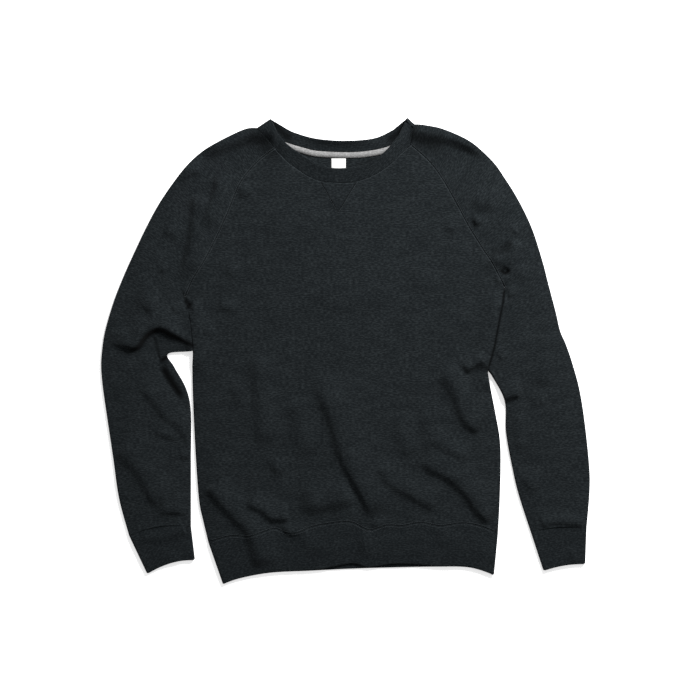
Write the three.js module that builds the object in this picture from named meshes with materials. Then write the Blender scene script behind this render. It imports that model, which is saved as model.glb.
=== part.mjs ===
// A crewneck sweatshirt with raglan sleeves, in heather fleece, laid flat with its sleeves down.
// Millimetres, +Z up. The table is z = 0 and +Y runs toward the neck. Right and left are the
// wearer's, so the right sleeve lies at -X. The back panel lies on the table, the front on top.
import * as THREE from 'three';

// Cloth
const FLEECE = 2;
const RIB = 3;
const TRIM = 1;
const LABEL_CLOTH = 0.8;
const AIR = 1.6;
const STACK = 2 * FLEECE + AIR;
const RIB_EXTRA = RIB - FLEECE;
const RIB_ROLL = (STACK + RIB_EXTRA) / 2;
const HALF_GAP = 0.16;
const NOTCH_GAP = 0.6;
const ON_CLOTH = 0.3;

// Lying over: below each underarm the body's side lies on the sleeve's inner edge
const LIFT = 6.4;
const LIFT_FLAT = 6;
const LIFT_FALL = 30;
const LIFT_RISE = 28;
const UNDER_REACH = 18;
const UNDER_FADE = 15;
const BACK_BAND_RISE = 7;

// The share of a body side that lies below the underarm
const SIDE_SHARE = 0.585;

// The V insert, the neck tape and the label
const INSERT_NECK = [0.38, 0.6];
const INSERT_TIP = [-11, 208];
const INSERT_TIP_WIDTH = 1.5;
const INSERT_BELOW_SEAM = 1.2;
const TAPE_BELOW_SEAM = 0.6;
const TAPE_WIDTH = 8.6;
const LABEL = { right: -22, left: 1, top: 289, bottom: 262 };

// Grid of each piece
const FRONT_COLUMNS = 24;
const BACK_COLUMNS = 12;
const SIDE_ROWS = 22;
const RAGLAN_ROWS = 12;
const SLEEVE_UPPER = 10;
const SLEEVE_LOWER = 4;
const CUFF_ROWS = 4;
const HEM_ROWS = 4;
const BAND_ROWS = 3;
const INSERT_ROWS = 4;
const INSERT_COLUMNS = 5;
const TAPE_COLUMNS = 12;

// Outlines, from the lower end up or from right to left, each point [x, y]
const SIDE_RIGHT = [
  [-206, -287], [-214, -254], [-220, -224], [-225, -156], [-229, -74], [-230, -28], [-229, -2],
  [-232, 32], [-236, 58], [-241, 82],
];
const SIDE_LEFT = [
  [229, -273], [231, -238], [233, -178], [232, -134], [225, -92], [217, -51], [214, -26],
  [224, 10], [231, 52], [239, 96],
];
const RAGLAN_FRONT_RIGHT = [
  [-241, 82], [-229, 108], [-212, 135], [-194, 170], [-177, 207], [-158, 252], [-132, 284],
  [-106, 304],
];
const RAGLAN_FRONT_LEFT = [
  [239, 96], [221, 130], [206, 153], [186, 185], [166, 222], [146, 257], [126, 284], [98, 309],
];
const RAGLAN_BACK_RIGHT = [[-241, 82], [-222, 112], [-190, 168], [-160, 220], [-130, 273], [-97, 318]];
const RAGLAN_BACK_LEFT = [[239, 96], [214, 136], [176, 198], [140, 250], [108, 290], [79, 316]];
const NECK_FRONT = [
  [-106, 304], [-88, 285], [-71, 272], [-55, 262], [-37, 255], [-11, 253], [14, 254], [34, 260],
  [50, 268], [67, 280], [83, 296], [98, 309],
];
const NECK_FOLD_FRONT = [
  [-98, 321], [-88, 310], [-73, 299], [-55, 288], [-37, 279], [-20, 274], [2, 274], [26, 278],
  [43, 286], [56, 296], [67, 307], [80, 324],
];
const NECK_BACK = [
  [-97, 318], [-87, 313], [-64, 306], [-42, 301], [2, 299], [34, 301], [62, 307], [79, 316],
];
const NECK_FOLD_BACK = [[-92, 336], [-76, 328], [-42, 319], [1, 316], [44, 320], [71, 332]];
const HEM_FRONT = [
  [-206, -287], [-188, -281], [-170, -277], [-148, -278], [-130, -273], [-107, -266], [-90, -272],
  [-73, -272], [-52, -264], [-30, -259], [7, -256], [35, -268], [61, -261], [85, -262],
  [112, -257], [141, -262], [173, -258], [201, -262], [229, -273],
];
const HEM_BACK = [[-206, -287], [-143, -273], [1, -266], [157, -266], [229, -273]];
const EDGE_FRONT = [
  [-184, -350], [-157, -340], [-112, -332], [-57, -328], [-20, -322], [7, -318], [34, -324],
  [74, -318], [134, -322], [185, -324], [223, -336],
];
const EDGE_BACK = [
  [-184, -350], [-157, -341], [-112, -333], [-53, -330], [7, -327], [74, -325], [134, -324],
  [185, -325], [223, -336],
];

// Where the neckband folds over at each shoulder: its seam, then its inner edge
const NOTCH_RIGHT = { seam: [-133, 334], tip: [-112, 348] };
const NOTCH_LEFT = { seam: [104, 340], tip: [93, 350] };

// Outer fold of each sleeve, from the notch down to the height of the underarm
const SHOULDER_RIGHT = [
  [-133, 334], [-152, 332], [-190, 314], [-220, 296], [-247, 268], [-277, 226], [-301, 182],
  [-329, 122],
];
const SHOULDER_LEFT = [
  [104, 340], [122, 338], [148, 332], [187, 314], [220, 286], [239, 260], [260, 226], [281, 182],
  [298, 128],
];

// Sections of each sleeve from the underarm to the cuff seam: its inner and outer fold, how far
// the section bows toward the cuff, and the rows that lead to it from the section above
const ARM_RIGHT = [
  { inner: [-241, 82], outer: [-329, 122], bow: 0, rows: 0 },
  { inner: [-236.5, 52], outer: [-343, 88], bow: 0, rows: 2 },
  { inner: [-225, 26], outer: [-352, 62], bow: 0, rows: 2 },
  { inner: [-224, 2], outer: [-361, 30], bow: 0, rows: 2 },
  { inner: [-266, -4], outer: [-365, 6], bow: 0, rows: 3 },
  { inner: [-257, -24], outer: [-367, -21], bow: 0, rows: 2 },
  { inner: [-239, -57], outer: [-365, -50], bow: 0, rows: 2 },
  { inner: [-232, -93], outer: [-359, -93], bow: 0, rows: 3 },
  { inner: [-232, -164], outer: [-349, -160], bow: 0, rows: 4 },
  { inner: [-232, -224], outer: [-340, -222], bow: -4, rows: 4 },
  { inner: [-232, -264], outer: [-325, -278], bow: -8, rows: 3 },
];
const ARM_LEFT = [
  { inner: [239, 96], outer: [298, 128], bow: 0, rows: 0 },
  { inner: [234, 62], outer: [305, 100], bow: 0, rows: 2 },
  { inner: [223, 30], outer: [316, 58], bow: 0, rows: 2 },
  { inner: [216, 5], outer: [322.5, 30], bow: 0, rows: 2 },
  { inner: [209, -20], outer: [331, 10], bow: 0, rows: 2 },
  { inner: [220, -38], outer: [340, -16], bow: 0, rows: 2 },
  { inner: [239, -76], outer: [351, -56], bow: 0, rows: 3 },
  { inner: [241, -123], outer: [359, -105], bow: 0, rows: 3 },
  { inner: [251, -178], outer: [366, -172], bow: 0, rows: 3 },
  { inner: [260, -216], outer: [366.5, -212], bow: -3, rows: 3 },
  { inner: [278, -272], outer: [362, -266], bow: -5, rows: 3 },
];
const CUFF_EDGE_RIGHT = { inner: [-226, -314], outer: [-298, -335], bow: -6 };
const CUFF_EDGE_LEFT = { inner: [297, -330], outer: [360, -320], bow: -3 };

// Folds of the upper layer: the crest's path, its height, the width of its steep and its gentle
// side, and which side of the path is the steep one (1 is the left hand going along it)
const FOLDS = [
  { path: [[0, -200], [0, 120]], height: 2.4, steep: 110, gentle: 110, side: 1 },
  { path: [[-39, -52], [-15, -110], [10, -180], [34, -240]], height: 6, steep: 13, gentle: 34, side: -1 },
  { path: [[154, -44], [170, -80], [190, -112]], height: 4, steep: 18, gentle: 30, side: -1 },
  { path: [[124, -150], [176, -194], [213, -244]], height: 6, steep: 13, gentle: 30, side: -1 },
  { path: [[60, -176], [100, -222], [118, -246]], height: 4, steep: 14, gentle: 26, side: -1 },
  { path: [[-196, -208], [-176, -232], [-148, -262]], height: 5, steep: 14, gentle: 26, side: -1 },
  { path: [[-142, -228], [-110, -246], [-84, -248]], height: 4, steep: 11, gentle: 22, side: -1 },
  { path: [[-148, -20], [-112, -60]], height: 2.5, steep: 18, gentle: 30, side: -1 },
  {
    path: [[-337, 12], [-312, 4], [-300, 26], [-282, 40], [-262, 32], [-232, 12]],
    height: 9, steep: 9, gentle: 34, side: -1,
  },
  { path: [[-292, 12], [-279, -28], [-252, -68]], height: 4, steep: 9, gentle: 26, side: 1 },
  { path: [[-297, -76], [-258, -112]], height: 3, steep: 14, gentle: 24, side: -1 },
  { path: [[-310, -180], [-280, -236]], height: 3, steep: 14, gentle: 24, side: -1 },
  { path: [[-226, 240], [-228, 180], [-228, 120]], height: 3, steep: 12, gentle: 26, side: -1 },
  { path: [[-282, 88], [-292, 56]], height: 3, steep: 12, gentle: 22, side: 1 },
  { path: [[196, 206], [202, 176], [214, 160]], height: 4, steep: 12, gentle: 22, side: -1 },
  { path: [[246, 184], [244, 150], [232, 128]], height: 4, steep: 12, gentle: 20, side: -1 },
  { path: [[242, -66], [262, -70], [282, -66]], height: 4, steep: 10, gentle: 24, side: -1 },
];

const HEATHER = new THREE.Color().setRGB(34 / 255, 38 / 255, 41 / 255, THREE.SRGBColorSpace);
const RIB_HEATHER = new THREE.Color().setRGB(31 / 255, 35 / 255, 37 / 255, THREE.SRGBColorSpace);
const TAPE_GREY = new THREE.Color().setRGB(161 / 255, 161 / 255, 161 / 255, THREE.SRGBColorSpace);
const LABEL_WHITE = new THREE.Color().setRGB(242 / 255, 242 / 255, 240 / 255, THREE.SRGBColorSpace);

// Plan points and curves
const mix = (a, b, f) => a + (b - a) * f;
const mixPoint = (a, b, f) => [mix(a[0], b[0], f), mix(a[1], b[1], f)];
const shift = (p, d, far) => [p[0] + d[0] * far, p[1] + d[1] * far];
const turnLeft = (d) => [-d[1], d[0]];
const distance = (a, b) => Math.hypot(b[0] - a[0], b[1] - a[1]);

function smooth(f) {
  const c = Math.min(Math.max(f, 0), 1);
  return c * c * (3 - 2 * c);
}

function direction(from, to) {
  const length = distance(from, to);
  return [(to[0] - from[0]) / length, (to[1] - from[1]) / length];
}

function curveThrough(points) {
  const curve = new THREE.SplineCurve(points.map(([x, y]) => new THREE.Vector2(x, y)));
  return (f) => curve.getPointAt(Math.min(Math.max(f, 0), 1)).toArray();
}

// A curve that passes its points at even steps of f
function throughStations(points) {
  const curve = new THREE.SplineCurve(points.map(([x, y]) => new THREE.Vector2(x, y)));
  return (f) => curve.getPoint(f).toArray();
}

// The unit normal on the left hand of a curve at f
function leftOf(curve, f) {
  return turnLeft(direction(curve(f - 0.01), curve(f + 0.01)));
}

function curveLength(curve) {
  const steps = Array.from({ length: 40 }, (_, i) => distance(curve(i / 40), curve((i + 1) / 40)));
  return steps.reduce((sum, step) => sum + step, 0);
}

const sideRight = curveThrough(SIDE_RIGHT);
const sideLeft = curveThrough(SIDE_LEFT);
const neckFront = curveThrough(NECK_FRONT);
const neckBack = curveThrough(NECK_BACK);
const neckFoldFront = curveThrough(NECK_FOLD_FRONT);
const neckFoldBack = curveThrough(NECK_FOLD_BACK);
const hemFront = curveThrough(HEM_FRONT);
const hemBack = curveThrough(HEM_BACK);
const edgeFront = curveThrough(EDGE_FRONT);
const edgeBack = curveThrough(EDGE_BACK);

// x of a body side at the height y
function sideX(points, y) {
  for (let i = 1; i < points.length; i += 1) {
    if (y <= points[i][1] || i === points.length - 1) {
      const f = (y - points[i - 1][1]) / (points[i][1] - points[i - 1][1]);
      return mix(points[i - 1][0], points[i][0], f);
    }
  }
  return points[0][0];
}

// Heights
function foldRise(fold, x, y) {
  const { path } = fold;
  let total = 0;
  for (let i = 1; i < path.length; i += 1) {
    total += Math.hypot(path[i][0] - path[i - 1][0], path[i][1] - path[i - 1][1]);
  }
  let best = { away: Infinity, along: 0, left: false };
  let walked = 0;
  for (let i = 1; i < path.length; i += 1) {
    const [ax, ay] = path[i - 1];
    const step = [path[i][0] - ax, path[i][1] - ay];
    const length = Math.hypot(step[0], step[1]);
    const f = Math.min(Math.max(((x - ax) * step[0] + (y - ay) * step[1]) / length ** 2, 0), 1);
    const away = Math.hypot(x - ax - step[0] * f, y - ay - step[1] * f);
    if (away < best.away) {
      const left = step[0] * (y - ay) - step[1] * (x - ax) > 0;
      best = { away, along: (walked + length * f) / total, left };
    }
    walked += length;
  }
  const width = best.left === (fold.side > 0) ? fold.steep : fold.gentle;
  const fade = smooth(best.along / 0.3 + 0.25) * smooth((1 - best.along) / 0.3 + 0.25);
  return fold.height * fade * Math.exp(-((best.away / width) ** 2));
}

// The height of the body's side over the sleeve's edge
const OVERLAPS = [
  { side: SIDE_RIGHT, inward: 1, top: 82, low: -8 },
  { side: SIDE_LEFT, inward: -1, top: 96, low: -40 },
];

function lift(x, y) {
  let raised = 0;
  for (const { side, inward, top, low } of OVERLAPS) {
    const inside = (x - sideX(side, y)) * inward;
    const along = smooth((top - y) / LIFT_RISE) * smooth((y - low) / LIFT_RISE + 1);
    raised += LIFT * along * (1 - smooth((inside - LIFT_FLAT) / LIFT_FALL));
  }
  return raised;
}

// Folds die out toward the neckline, where the rib holds the cloth flat
function folds(x, y) {
  const hush = smooth((285 - y) / 60);
  return FOLDS.reduce((sum, fold) => sum + foldRise(fold, x, y), 0) * hush;
}

// 1 where a sleeve passes under the body's side, where it lies flat, and 0 away from it
function underBody(x, y) {
  return OVERLAPS.reduce((most, { side, inward, top, low }) => {
    const inside = (x - sideX(side, y)) * inward;
    const along = smooth((top - y) / LIFT_RISE) * smooth((y - low) / LIFT_RISE + 1);
    return Math.max(most, along * smooth((inside + UNDER_REACH) / UNDER_FADE));
  }, 0);
}

const sleeveLevel = {
  top: (x, y) => STACK + folds(x, y) * (1 - underBody(x, y)),
  bottom: () => 0,
};
const bodyLevel = {
  top: (x, y) => STACK + folds(x, y) + lift(x, y),
  bottom: (x, y) => lift(x, y),
};

function ribLevel(level) {
  return { top: (x, y) => level.top(x, y) + RIB_EXTRA, bottom: level.bottom };
}

function slopeNormal(height, x, y, up) {
  const e = 0.5;
  const dx = (height(x + e, y) - height(x - e, y)) / (2 * e);
  const dy = (height(x, y + e) - height(x, y - e)) / (2 * e);
  return new THREE.Vector3(-dx * up, -dy * up, up).normalize();
}

// A point of the outer skin and its normal. turn is 90 on the upper layer, -90 on the lower one
// and between them on a rolled fold, whose centre line then lies at (x, y).
function skin({ x, y, turn, out = [0, 0], roll = STACK / 2, rise = 0, slope = 0 }, level) {
  if (turn === 90) {
    const n = slopeNormal(level.top, x, y, 1);
    return { p: new THREE.Vector3(x, y, level.top(x, y)), n };
  }
  if (turn === -90) {
    const n = slopeNormal(level.bottom, x, y, -1);
    if (slope) n.set(out[0] * slope, out[1] * slope, -1).normalize();
    return { p: new THREE.Vector3(x, y, level.bottom(x, y) + rise), n };
  }
  const a = THREE.MathUtils.degToRad(turn);
  const low = level.bottom(x, y);
  const half = (level.top(x, y) - low) / 2;
  const n = new THREE.Vector3(Math.cos(a) * out[0], Math.cos(a) * out[1], Math.sin(a));
  const p = new THREE.Vector3(
    x + roll * Math.cos(a) * out[0],
    y + roll * Math.cos(a) * out[1],
    low + half * (1 + Math.sin(a)),
  );
  return { p, n };
}

// A closed wall from its outer skin and the quads that join its points: the inner skin lies one
// thickness inside, and each open edge is closed by a strip
function wall(name, points, quads, thickness, colour) {
  const outer = points.map(({ p }) => p);
  const inner = points.map(({ p, n }) => p.clone().addScaledVector(n, -thickness));
  const index = [];
  const count = points.length;
  const edges = new Map();
  const quad = (a, b, c, d) => index.push(a, b, c, a, c, d);
  for (const [a, b, c, d] of quads) {
    quad(a, b, c, d);
    index.push(a + count, c + count, b + count, a + count, d + count, c + count);
    for (const [from, to] of [[a, b], [b, c], [c, d], [d, a]]) edges.set(`${from} ${to}`, [from, to]);
  }
  for (const [from, to] of edges.values()) {
    if (!edges.has(`${to} ${from}`)) quad(to, from, from + count, to + count);
  }
  const geometry = new THREE.BufferGeometry();
  geometry.setAttribute('position', new THREE.Float32BufferAttribute(
    [...outer, ...inner].flatMap((v) => v.toArray()), 3,
  ));
  geometry.setIndex(index);
  geometry.computeVertexNormals();
  const material = new THREE.MeshStandardMaterial({ color: colour, roughness: 0.95, metalness: 0 });
  const mesh = new THREE.Mesh(geometry, material);
  mesh.name = name;
  return mesh;
}

// Quads of a grid, whose rows may close on themselves
function gridQuads(rows, columns, closed, flip) {
  const quads = [];
  const last = closed ? columns : columns - 1;
  for (let j = 0; j < rows - 1; j += 1) {
    for (let i = 0; i < last; i += 1) {
      const next = (i + 1) % columns;
      const q = [j * columns + i, j * columns + next, (j + 1) * columns + next, (j + 1) * columns + i];
      quads.push(flip ? q.reverse() : q);
    }
  }
  return quads;
}

// Where the columns of a panel row lie: five near each side, close together on its rolled fold,
// and the rest evenly between
const NEAR_FOLD = [0, STACK / 2 * (1 - Math.SQRT1_2), STACK / 2, 20, 38];
const NEAR_RAGLAN = [0, 5, 11, 24, 40];

function columnShares(columns, width, rolled) {
  const near = (rolled ? NEAR_FOLD : NEAR_RAGLAN).map((inset) => inset / width);
  const first = near[near.length - 1];
  const spans = columns - 2 * (near.length - 1);
  const between = Array.from({ length: spans - 1 }, (_, i) => mix(first, 1 - first, (i + 1) / spans));
  return [...near, ...between, ...near.map((share) => 1 - share).reverse()];
}

// Toward the underarm the raglan seam sinks from its layer to the middle of the side fold
const UNDERARM_SINK = 0.4;

function atUnderarm({ p, n }, rowsAbove, out, sign) {
  if (rowsAbove === 0) n.set(out[0], out[1] - 1, 0).normalize();
  if (rowsAbove === 1) p.z -= sign * UNDERARM_SINK;
}

// Front and back panel: a patch between the hem seam, the sides with the raglan seams, and the
// neckline, in plan, then raised to its layer
function panel(name, { hem, neck, raglanRight, raglanLeft, columns, upper }) {
  const edgeOf = (side, raglan) => (v) => (
    v <= SIDE_SHARE ? side(v / SIDE_SHARE) : raglan((v - SIDE_SHARE) / (1 - SIDE_SHARE))
  );
  const right = edgeOf(sideRight, curveThrough(raglanRight));
  const left = edgeOf(sideLeft, curveThrough(raglanLeft));
  const [hemRight, hemLeft, neckRight, neckLeft] = [hem(0), hem(1), neck(0), neck(1)];
  const patch = (u, v) => {
    const across = mixPoint(hem(u), neck(u), v);
    const along = mixPoint(right(v), left(v), u);
    const corners = mixPoint(mixPoint(hemRight, hemLeft, u), mixPoint(neckRight, neckLeft, u), v);
    return [across[0] + along[0] - corners[0], across[1] + along[1] - corners[1]];
  };
  const sign = upper ? 1 : -1;
  const rows = SIDE_ROWS + RAGLAN_ROWS;
  const points = [];
  for (let j = 0; j <= rows; j += 1) {
    const rolled = j <= SIDE_ROWS;
    const v = rolled
      ? SIDE_SHARE * j / SIDE_ROWS
      : mix(SIDE_SHARE, 1, (j - SIDE_ROWS) / RAGLAN_ROWS);
    const rowEnds = j === rows ? curveLength(neck) : distance(right(v), left(v));
    columnShares(columns, rowEnds, rolled).forEach((u, i) => {
      const fromEdge = Math.min(i, columns - i);
      const edge = i < columns / 2 ? right : left;
      const out = leftOf(edge, v).map((d) => (i < columns / 2 ? d : -d));
      let [x, y] = patch(u, v);
      let turn = 90 * sign;
      if (rolled && fromEdge < 3) {
        [x, y] = shift(edge(v), out, -STACK / 2 - HALF_GAP);
        turn = 45 * sign * fromEdge;
      } else if (fromEdge === 0) {
        [x, y] = shift([x, y], out, -HALF_GAP);
      }
      if (j === 0) [x, y] = shift([x, y], leftOf(hem, u), HALF_GAP);
      if (j === rows) [x, y] = shift([x, y], leftOf(neck, u), -HALF_GAP);
      const point = skin({ x, y, turn, out }, bodyLevel);
      if (fromEdge === 0) {
        if (rolled) point.p.z += sign * HALF_GAP;
        atUnderarm(point, j - SIDE_ROWS, out, sign);
      }
      points.push(point);
    });
  }
  return wall(name, points, gridQuads(rows + 1, columns + 1, false, !upper), FLEECE, HEATHER);
}

// One section of a sleeve or cuff in plan: the points of its upper layer from the inner to the
// outer fold, then those of its lower layer back again. An open section runs from one raglan
// seam over the outer fold to the other.
const NEAR_SEAM = [0, 4, 9];

function sectionPlaces({ front, back, outer, bow = 0, open = false, roll = STACK / 2 }) {
  const out = direction(front, outer);
  const inward = out.map((d) => -d);
  const line = (from) => {
    const way = direction(from, outer);
    const length = distance(from, outer);
    return (inset) => {
      const [x, y] = shift(from, way, inset);
      const f = inset / length;
      return { x, y: y - bow * 4 * f * (1 - f), length };
    };
  };
  const upper = line(front);
  const lower = line(back);
  const [, first, second] = open ? NEAR_SEAM : [roll, roll, roll];
  const start = open ? 0 : roll;
  const places = [
    { ...upper(start), turn: open ? 90 : 0, out: inward, roll },
    { ...upper(first), turn: open ? 90 : 45, out: inward, roll },
    { ...upper(second), turn: 90 },
  ];
  const upperEnd = upper(0).length - roll;
  for (let i = 1; i < SLEEVE_UPPER; i += 1) {
    places.push({ ...upper(mix(second, upperEnd, i / SLEEVE_UPPER)), turn: 90 });
  }
  for (const turn of [90, 45, 0]) places.push({ ...upper(upperEnd), turn, out, roll });
  const lowerEnd = lower(0).length - roll;
  for (const turn of [-45, -90]) places.push({ ...lower(lowerEnd), turn, out, roll });
  for (let i = 1; i < SLEEVE_LOWER; i += 1) {
    places.push({ ...lower(mix(lowerEnd, second, i / SLEEVE_LOWER)), turn: -90 });
  }
  places.push({ ...lower(second), turn: -90 });
  places.push({ ...lower(first), turn: open ? -90 : -45, out: inward, roll });
  if (open) places.push({ ...lower(0), turn: -90 });
  return places;
}

// The sections of an arm below the underarm, row by row
function armRows(table) {
  const inner = throughStations(table.map((row) => row.inner));
  const outer = throughStations(table.map((row) => row.outer));
  const rows = [];
  for (let i = 1; i < table.length; i += 1) {
    const steps = table[i].rows;
    for (let k = 1; k <= steps; k += 1) {
      const f = (i - 1 + k / steps) / (table.length - 1);
      const bow = mix(table[i - 1].bow, table[i].bow, k / steps);
      rows.push({ front: inner(f), back: inner(f), outer: outer(f), bow });
    }
  }
  return rows;
}

// Moves a section along the arm, away from the neck for a positive far
function alongArm(row, armSide, far) {
  const way = turnLeft(direction(row.front, row.outer)).map((d) => d * armSide);
  const moved = ['front', 'back', 'outer'].map((end) => [end, shift(row[end], way, far)]);
  return { ...row, ...Object.fromEntries(moved) };
}

// Joins sections into a wall. A closed section ends on its own first point.
function sectionWall(name, rows, { level, thickness, roll, flip, colour, adjust = () => {} }) {
  const points = [];
  const ids = rows.map((row, j) => {
    const places = sectionPlaces({ ...row, roll });
    const first = points.length;
    places.forEach((place, i) => {
      const point = skin(place, level);
      adjust(point, j, i, places);
      points.push(point);
    });
    const numbers = places.map((_, i) => first + i);
    return row.open ? numbers : [...numbers, first];
  });
  const quads = [];
  for (let j = 1; j < ids.length; j += 1) {
    for (let i = 1; i < ids[j].length; i += 1) {
      const quad = [ids[j - 1][i - 1], ids[j - 1][i], ids[j][i], ids[j][i - 1]];
      quads.push(flip ? quad.reverse() : quad);
    }
  }
  return wall(name, points, quads, thickness, colour);
}

// A sleeve: open sections between its two raglan seams, then closed ones down to the cuff seam
function sleeve(name, { raglanFront, raglanBack, shoulder, arm, armSide }) {
  const frontSeam = curveThrough(raglanFront);
  const backSeam = curveThrough(raglanBack);
  const outer = curveThrough(shoulder);
  const raglanRow = (k) => {
    const f = 1 - k / RAGLAN_ROWS;
    const open = k < RAGLAN_ROWS;
    return {
      front: shift(frontSeam(f), leftOf(frontSeam, f), HALF_GAP * armSide),
      back: shift(open ? backSeam(f) : frontSeam(f), leftOf(frontSeam, f), HALF_GAP * armSide),
      outer: outer(k / RAGLAN_ROWS),
      open,
    };
  };
  const rows = Array.from({ length: RAGLAN_ROWS + 1 }, (_, k) => raglanRow(k));
  rows.push(...armRows(arm));
  rows[0] = alongArm(rows[0], armSide, HALF_GAP);
  rows[rows.length - 1] = alongArm(rows[rows.length - 1], armSide, -HALF_GAP);
  const adjust = (point, j, i, places) => {
    const rowsAbove = RAGLAN_ROWS - j;
    if (i === 0) atUnderarm(point, rowsAbove, places[0].out, 1);
    if (i === places.length - 1 && rowsAbove === 1) atUnderarm(point, rowsAbove, [0, 0], -1);
  };
  return sectionWall(name, rows, {
    level: sleeveLevel, thickness: FLEECE, roll: STACK / 2, flip: armSide < 0, colour: HEATHER, adjust,
  });
}

// A cuff: doubled rib from the sleeve's seam to its folded edge
function cuff(name, { arm, edge, armSide }) {
  const seam = arm[arm.length - 1];
  const rows = Array.from({ length: CUFF_ROWS + 1 }, (_, j) => {
    const f = j / CUFF_ROWS;
    const inner = mixPoint(seam.inner, edge.inner, f);
    const outer = mixPoint(seam.outer, edge.outer, f);
    return { front: inner, back: inner, outer, bow: mix(seam.bow, edge.bow, f) };
  });
  rows[0] = alongArm(rows[0], armSide, HALF_GAP);
  return sectionWall(name, rows, {
    level: ribLevel(sleeveLevel), thickness: RIB, roll: RIB_ROLL, flip: armSide < 0, colour: RIB_HEATHER,
  });
}

// A band sewn all round an opening, from stations that each give its places from the seam to the
// free edge
function band(name, stations, level, flip) {
  const rows = stations[0].length;
  const points = [];
  for (let j = 0; j < rows; j += 1) {
    for (const station of stations) points.push(skin(station[j], level));
  }
  return wall(name, points, gridQuads(rows, stations.length, true, flip), RIB, RIB_HEATHER);
}

// The roll of a band's fold: places from the seam end to the free end, turned about centre lines
function rollStation(seam, free, turn, rows) {
  return Array.from({ length: rows + 1 }, (_, j) => {
    const out = mixPoint(seam.out, free.out, j / rows);
    const size = Math.hypot(out[0], out[1]);
    const [x, y] = mixPoint(seam.centre, free.centre, j / rows);
    return { x, y, turn, out: [out[0] / size, out[1] / size], roll: RIB_ROLL };
  });
}

// The hem band
function hemBand(name) {
  const gap = HALF_GAP;
  const layer = (columns, seam, edge, turn) => {
    const shares = columnShares(columns, distance(seam(0), seam(1)), true).slice(3, -3);
    return shares.map((u) => Array.from({ length: HEM_ROWS + 1 }, (_, j) => {
      const [x, y] = mixPoint(shift(seam(u), leftOf(seam, u), -gap), edge(u), j / HEM_ROWS);
      return { x, y, turn };
    }));
  };
  const roll = (share, turns) => {
    const seamPoint = shift(hemFront(share), leftOf(hemFront, share), -gap);
    const out = turnLeft(direction(edgeFront(share), seamPoint)).map((d) => (share ? -d : d));
    const end = (p) => ({ centre: shift(p, out, -RIB_ROLL), out });
    return turns.map((turn) => rollStation(end(seamPoint), end(edgeFront(share)), turn, HEM_ROWS));
  };
  const stations = [
    ...roll(0, [0, 45, 90]),
    ...layer(FRONT_COLUMNS, hemFront, edgeFront, 90),
    ...roll(1, [90, 45, 0, -45, -90]),
    ...layer(BACK_COLUMNS, hemBack, edgeBack, -90).reverse(),
    ...roll(0, [-90, -45]),
  ];
  return band(name, stations, ribLevel(bodyLevel), true);
}

// The neckband: it folds over at each shoulder notch, and its back half leans up off the table
function neckband(name) {
  const rows = BAND_ROWS;
  const fromSeam = (seam, free, turn, rising = 0) => Array.from({ length: rows + 1 }, (_, j) => {
    const f = j / rows;
    const [x, y] = mixPoint(seam, free, f);
    const rise = rising * BACK_BAND_RISE;
    const slope = 2 * f * rise / distance(seam, free);
    return { x, y, turn, out: direction(seam, free), rise: rise * f * f, slope };
  });
  const neckline = (columns, seam, free, turn, rising) => (
    columnShares(columns, curveLength(seam), false).map((u) => (
      fromSeam(shift(seam(u), leftOf(seam, u), HALF_GAP), free(u), turn, rising(u))
    ))
  );
  const backRise = (u) => smooth((u - 0.08) / 0.34) * smooth((0.92 - u) / 0.34);
  // The short stretch along the top of a sleeve, between its corner with a panel and the notch
  const bit = (notch, corner, freeCorner, turn) => [1 / 3, 2 / 3].map((f) => {
    const lean = direction(notch.seam, notch.tip);
    const seam = shift(mixPoint(corner, notch.seam, f), lean, HALF_GAP);
    return fromSeam(seam, mixPoint(freeCorner, notch.tip, f), turn);
  });
  const roll = (notch, frontCorner, corner, outward, turns) => {
    const lean = direction(notch.seam, notch.tip);
    const across = turnLeft(lean).map((d) => d * outward);
    const back = direction(corner, notch.seam);
    const out = direction(frontCorner, notch.seam);
    const seam = { centre: shift(shift(notch.seam, back, -RIB_ROLL), lean, NOTCH_GAP), out };
    const free = { centre: shift(notch.tip, across, -RIB_ROLL), out: across };
    return turns.map((turn) => rollStation(seam, free, turn, rows));
  };
  const flat = () => 0;
  const stations = [
    ...roll(NOTCH_RIGHT, neckFront(0), neckFront(0), 1, [0, 45, 90]),
    ...bit(NOTCH_RIGHT, neckFront(0), neckFoldFront(0), 90).reverse(),
    ...neckline(FRONT_COLUMNS, neckFront, neckFoldFront, 90, flat),
    ...bit(NOTCH_LEFT, neckFront(1), neckFoldFront(1), 90),
    ...roll(NOTCH_LEFT, neckFront(1), neckFront(1), -1, [90, 45, 0]),
    ...roll(NOTCH_LEFT, neckFront(1), neckBack(1), -1, [-45, -90]),
    ...bit(NOTCH_LEFT, neckBack(1), neckFoldBack(1), -90).reverse(),
    ...neckline(BACK_COLUMNS, neckBack, neckFoldBack, -90, backRise).reverse(),
    ...bit(NOTCH_RIGHT, neckBack(0), neckFoldBack(0), -90),
    ...roll(NOTCH_RIGHT, neckFront(0), neckBack(0), 1, [-90, -45]),
  ];
  return band(name, stations, ribLevel(sleeveLevel), false);
}

// A flat piece sewn on a panel: its points are the panel's, moved out by the thickness and a gap
function appliedPiece(name, rows, height, thickness, colour) {
  const columns = rows[0].length;
  const points = rows.flat().map(([x, y]) => {
    const n = slopeNormal(height, x, y, 1);
    const p = new THREE.Vector3(x, y, height(x, y)).addScaledVector(n, ON_CLOTH + thickness);
    return { p, n };
  });
  return wall(name, points, gridQuads(rows.length, columns, false, false), thickness, colour);
}

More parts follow.
